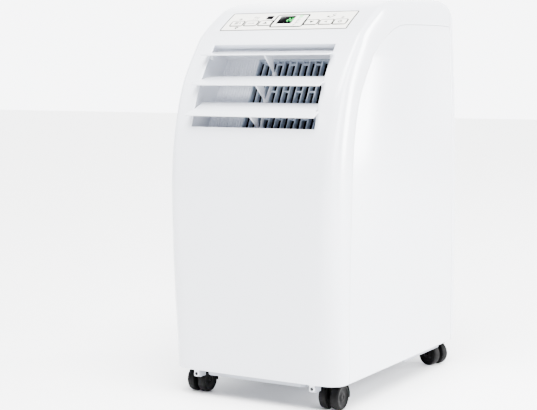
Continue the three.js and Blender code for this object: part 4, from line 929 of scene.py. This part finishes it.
def stroke(bm, a, b, width, place=on_panel):
    """A printed line between two points, in short steps that follow the curved face."""
    (x0, w0), (x1, w1) = a, b
    size = math.hypot(x1 - x0, w1 - w0)
    dx, dw = (w0 - w1) / size * width / 2, (x1 - x0) / size * width / 2
    steps = math.ceil(abs(w1 - w0) / 2.5) or 1
    stops = [(x0 + (x1 - x0) * i / steps, w0 + (w1 - w0) * i / steps) for i in range(steps + 1)]
    for (p, q), (r, s) in zip(stops, stops[1:]):
        prism(bm, [(p + dx, q + dw), (p - dx, q - dw), (r - dx, s - dw), (r + dx, s + dw)], *PRINT, place)


def path(bm, points, width, place=on_panel, closed=False):
    for a, b in zip(points, points[1:] + points[:1] if closed else points[1:]):
        stroke(bm, a, b, width, place)


def hoop(x, w, radius, start=0, end=360, steps=14):
    """Points round an arc on the panel."""
    return [(x + a, w + b) for a, b in arc(radius, start, end, steps)]


def printed(name, draw, material, slot, body="root"):
    bm = bmesh.new()
    draw(bm)
    settle(new_object(name, bm), material, slot, body)


def draw_frames(bm):
    path(bm, rounded(3, 27.4, 57, 37, 3), 3.0, closed=True)


def draw_edge(bm):
    loop = rounded(0, P_LENGTH / 2, 227.0, P_LENGTH - 2.2, 1.2)
    steps = [p for a, b in zip(loop, loop[1:] + loop[:1]) for p in straight(a, b, 4)]
    path(bm, steps, 2.0, closed=True)


# Dark ink bands hugging each key's gap: painted shade, standing in for the shadow round the keys.
def draw_key_gap_shade(bm):
    for x in KEYS:
        path(bm, rounded(x, KEY_W, KEY_SIZE[0] + 2.7, KEY_SIZE[1] + 2.7, 2.9), 2.1, closed=True)


def draw_signs(bm):
    """Generic signs over the keys: timer, speed, sleep and power."""
    path(bm, hoop(-91, 34.5, 2.2), 1.0)
    stroke(bm, (-91, 34.5), (-91, 36.2), 0.9)
    stroke(bm, (-91, 34.5), (-89.9, 34.5), 0.9)
    for i in range(3):
        stroke(bm, (-68 + 3.4 * i, 38 - 0.8 * i), (-66 + 3.4 * i, 43 - 0.8 * i), 1.2)
        stroke(bm, (-68 + 3.4 * i, 34), (-66.4 + 3.4 * i, 34), 1.2)
    for i in range(4):
        a = math.radians(45 * i)
        u, v = 2.6 * math.cos(a), 2.6 * math.sin(a)
        stroke(bm, (67 - u, 38 - v), (67 + u, 38 + v), 1.0)
    path(bm, hoop(76, 43.5, 2.4, 40, 320), 1.2)
    stroke(bm, (70, 33.5), (78, 41), 1.2)
    path(bm, hoop(94, 34.6, 1.9, 120, 420), 1.1)
    stroke(bm, (94, 34.6), (94, 37.3), 1.1)
    path(bm, hoop(-86, 8.2, 2.4, 0, 300), 1.4)
    stroke(bm, (-88, 6.4), (-83.6, 10.4), 1.4)


printed("panel_display_outline", draw_frames, ink, "black_plastic")
printed("panel_edge_line", draw_edge, ink, "black_plastic")
printed("panel_key_rims", draw_key_gap_shade, ink, "black_plastic")
printed("panel_signs", draw_signs, ink, "black_plastic")


def draw_lamps(bm):
    """A column of small mode signs beside the display."""
    for w in (42.5, 38.0):
        path(bm, hoop(17, w, 1.6, 30, 330), 1.4)
        stroke(bm, (19.4, w - 1.4), (20.8, w + 1.6), 1.6)


def draw_marks(bm):
    for w in (31, 25.5, 20):
        path(bm, hoop(17, w, 1.3, 0, 300, 8), 1.2)
        stroke(bm, (19.2, w), (21.6, w), 1.2)
    stroke(bm, (14, 13.2), (17, 15), 1.6)


printed("panel_lamp_signs", draw_lamps, green_glow, "board_green")
printed("panel_mode_signs", draw_marks, pale_ink, "pale_grey")


def under_lens(x, w, out):
    """A point on the face of the display window."""
    return in_panel(x, w, crown_at(DISPLAY[1])[1] - 0.1 + out)


def draw_digits(bm):
    """Two seven-segment digits, both lit to the same number."""
    for x, on in ((-2.6, "abdeg"), (3.0, "abcdeg")):
        wide, tall, w0 = 3.3, 4.2, DISPLAY[1] - 4.2
        ends = {"a": ((0, 2), (1, 2)), "b": ((1, 2), (1, 1)), "c": ((1, 1), (1, 0)), "d": ((0, 0), (1, 0)),
                "e": ((0, 1), (0, 0)), "f": ((0, 2), (0, 1)), "g": ((0, 1), (1, 1))}
        for (a, b), (c, d) in (ends[k] for k in on):
            stroke(bm, (x + a * wide + 0.3 * b, w0 + b * tall), (x + c * wide + 0.3 * d, w0 + d * tall), 1.1,
                   under_lens)


printed("display_digits", draw_digits, green_glow, "board_green")


def draw_triangle(up):
    def draw(bm):
        s = 1 if up else -1
        x = KEYS[2] if up else KEYS[3]
        foot, tip = KEY_W - 3.0 * s, KEY_W + 3.4 * s
        prism(bm, [(x - 4.2, foot), (x + 4.2, foot), (x, tip)], *PRINT, on_key)
    return draw


def draw_swing(bm):
    x = KEYS[0]
    for i in range(3):
        stroke(bm, (x - 4.5, KEY_W - 2.6 + 2.4 * i), (x + 1.5, KEY_W - 1.6 + 2.4 * i), 1.5, on_key)
    path(bm, hoop(x + 3, KEY_W, 2.6, -70, 70, 8), 1.5, on_key)


def draw_mode(bm):
    x = KEYS[1]
    stroke(bm, (x - 6, KEY_W - 0.5), (x + 4, KEY_W - 0.5), 1.4, on_key)
    prism(bm, [(x + 3.6, KEY_W - 2.3), (x + 6.8, KEY_W - 0.5), (x + 3.6, KEY_W + 1.3)], *PRINT, on_key)


def draw_fan(bm):
    x = KEYS[4]
    for turn_by in (0, 120, 240):
        turns = [(k, math.radians(turn_by + k)) for k in range(0, 100, 20)]
        path(bm, [(x + 3 * math.cos(a) * k / 90, KEY_W + 3 * math.sin(a) * k / 90) for k, a in turns],
             1.8, on_key)


def draw_power(bm):
    x = KEYS[5]
    path(bm, hoop(x, KEY_W - 0.3, 2.7, 125, 415), 1.6, on_key)
    stroke(bm, (x, KEY_W), (x, KEY_W + 3.4), 1.6, on_key)


key_signs = (draw_swing, draw_mode, draw_triangle(True), draw_triangle(False), draw_fan, draw_power)
for number, draw in enumerate(key_signs, 1):
    printed(f"key_{number}_sign", draw, ink, "black_plastic", f"button_{number}")

# ---- Inside the cabinet ---------------------------------------------------------------------
# The control board, two black foam and plastic blower housings with their wheels and motors, the
# two coils, the compressor with copper pipes, and the sheet steel box of the electrics.
# Matt black foam, its near black partly the foam's own colour and partly painted shade, so the hollow behind
# the finger guard reads dark; satin black fans, glossy black enamel and bright drawn copper.
board_green = moulded("green solder mask", "#1e5a3a", 0.35, grain=2.5, depth=0.05)
foam = moulded("black polystyrene foam darkened as painted shade", "#141416", 0.85, grain=2.2, depth=0.12)
fan_black = moulded("black glass-filled nylon", "#19191b", 0.5, grain=1.0, depth=0.02)
enamel = moulded("black compressor enamel", "#161617", 0.28, grain=2.0, depth=0.02)
copper = plated("drawn copper", "#b8704a", 0.33, mark=3.0)


def finned(name, code, pitch):
    """Stacked aluminium fins: bright edges every pitch millimetres across the coil, with painted shade in the
    gaps between them.
    """
    material, tree, where = blank(name)
    fins = add(tree, "ShaderNodeTexWave", {
        "Vector": where, "Scale": math.tau * 50 / pitch, "Distortion": 0.15},
        wave_type="BANDS", bands_direction="X")
    # Painted shade: the colour falls to 18 per cent between the fin edges.
    tint = toned(tree, code, 0.18, fins.outputs["Fac"])
    relief = add(tree, "ShaderNodeBump", {"Height": fins.outputs["Fac"], "Distance": 0.0006, "Strength": 0.8})
    surface(tree, {
        "Base Color": tint, "Roughness": 0.38, "Metallic": 1.0, "Normal": relief.outputs[0]})
    return material


fins = finned("aluminium fin stock", "#c6c9cc", 1.8)
for node, material, slot, body, edge in (
        ("control_board", board_green, "board_green", "root", 0.2),
        ("evaporator_blower_scroll", foam, "black_plastic", "root", 0.5),
        ("evaporator_blower_wheel", fan_black, "black_plastic", "evaporator_blower", 0.15),
        ("evaporator_fan_motor", zinc, "zinc", "root", 0.8),
        ("condenser_blower_scroll", pale_pp, "pale_grey", "root", 0.5),
        ("condenser_blower_wheel", fan_black, "black_plastic", "condenser_blower", 0.15),
        ("condenser_fan_motor", zinc, "zinc", "root", 0.8),
        ("evaporator_coil", fins, "aluminium", "root", 0.3),
        ("condenser_coil", fins, "aluminium", "root", 0.3),
        ("drip_tray", pale_pp, "pale_grey", "root", 0.4),
        ("compressor", enamel, "black_plastic", "root", 0.8),
        ("suction_pipe", copper, "copper", "root", 0.1),
        ("discharge_pipe", copper, "copper", "root", 0.1),
        ("electrical_box", zinc, "zinc", "root", 0.8),
        ("exhaust_collar", pale_pp, "pale_grey", "root", 0.5),
        ("cord_gland", nylon, "black_plastic", "root", 0.3)):
    settle(refine(node, edge), material, slot, body, node)

# Dull black rubber with a fine grain.
rubber = moulded("black moulded rubber", "#1c1c1e", 0.7, grain=0.8, depth=0.02)
settle(refine("drain_plug", 0.5), rubber, "rubber", "drain_plug", "drain_plug")

# ---- Rear filter doors ----------------------------------------------------------------------
# Two gloss ABS doors that tip out on their lower edges. Each has two windows filled with slanting
# slats, and holds a woven nylon filter against its back.


def woven(name, code, pitch):
    """Nylon mesh: threads crossing every pitch millimetres, with painted shade in the open weave between
    them.
    """
    material, tree, where = blank(name)
    threads = {"Vector": where, "Scale": math.tau * 50 / pitch}
    warp, weft = (add(tree, "ShaderNodeTexWave", threads, wave_type="BANDS", bands_direction=way)
                  for way in ("X", "Z"))
    cloth = add(tree, "ShaderNodeMath", {0: warp.outputs["Fac"], 1: weft.outputs["Fac"]}, operation="MAXIMUM")
    # Painted shade: the colour falls to 15 per cent in the open weave between the threads.
    tint = toned(tree, code, 0.15, cloth.outputs[0])
    relief = add(tree, "ShaderNodeBump", {"Height": cloth.outputs[0], "Distance": 0.0003, "Strength": 0.7})
    surface(tree, {
        "Base Color": tint, "Roughness": 0.7, "Normal": relief.outputs[0]})
    return material


# Slate-grey threads, with painted shade darkening the open weave.
mesh_cloth = woven("woven nylon mesh", "#5a6875", 1.6)
DOOR_WALL, RIM, MULLION, SLATS = 3.0, 9.0, 8.0, 18

for name, (half, foot, head) in DOORS.items():
    t_head, t_foot = rear_t(head), rear_t(foot)

    def door_point(x, s):
        (y, z), _ = off_curve(REAR_ROWS, t_head + (t_foot - t_head) * s, 0)
        return Vector((x, min(y, cad_high.y * 1000 - 0.002), z))

    tall = head - foot
    windows = [[(x, s / tall) for x, s in rectangle(a, b, RIM, tall - RIM, 4)]
               for a, b in ((-half + RIM, -MULLION / 2), (MULLION / 2, half - RIM))]
    door_columns = [-half + 2 * half * i / 60 for i in range(61)]
    door = holed_sheet(f"{name}_door", door_columns, [i / 24 for i in range(25)], windows, door_point)
    thicken(door, DOOR_WALL)
    soften(door, 0.5, limit=60)
    bake(door)
    (y0, z0), (y1, z1) = (off_curve(REAR_ROWS, t_head + (t_foot - t_head) * s, -DOOR_WALL / 2)[0]
                          for s in (RIM / tall, 1 - RIM / tall))
    step = (0, (y1 - y0) / SLATS, (z1 - z0) / SLATS)
    slat = bmesh.new()
    a, b = y0 + step[1] / 2, z0 + step[2] / 2
    prism(slat, [(a - 1.2, b + 2.2), (a - 0.1, b + 2.2), (a + 1.2, b - 2.0), (a + 0.1, b - 2.0)],
          -half + RIM - 0.5, half - RIM + 0.5, along_x)
    slat = new_object("slat", slat)
    soften(slat, 0.25)
    repeat(door, slat, SLATS, step, white_abs)
    settle(door, white_abs, "white_gloss", f"{name}_filter_door", f"{name}_filter_cover", crease=50)
    settle(refine(f"{name}_filter", 0.2), mesh_cloth, "filter_mesh", f"{name}_filter_door", f"{name}_filter")
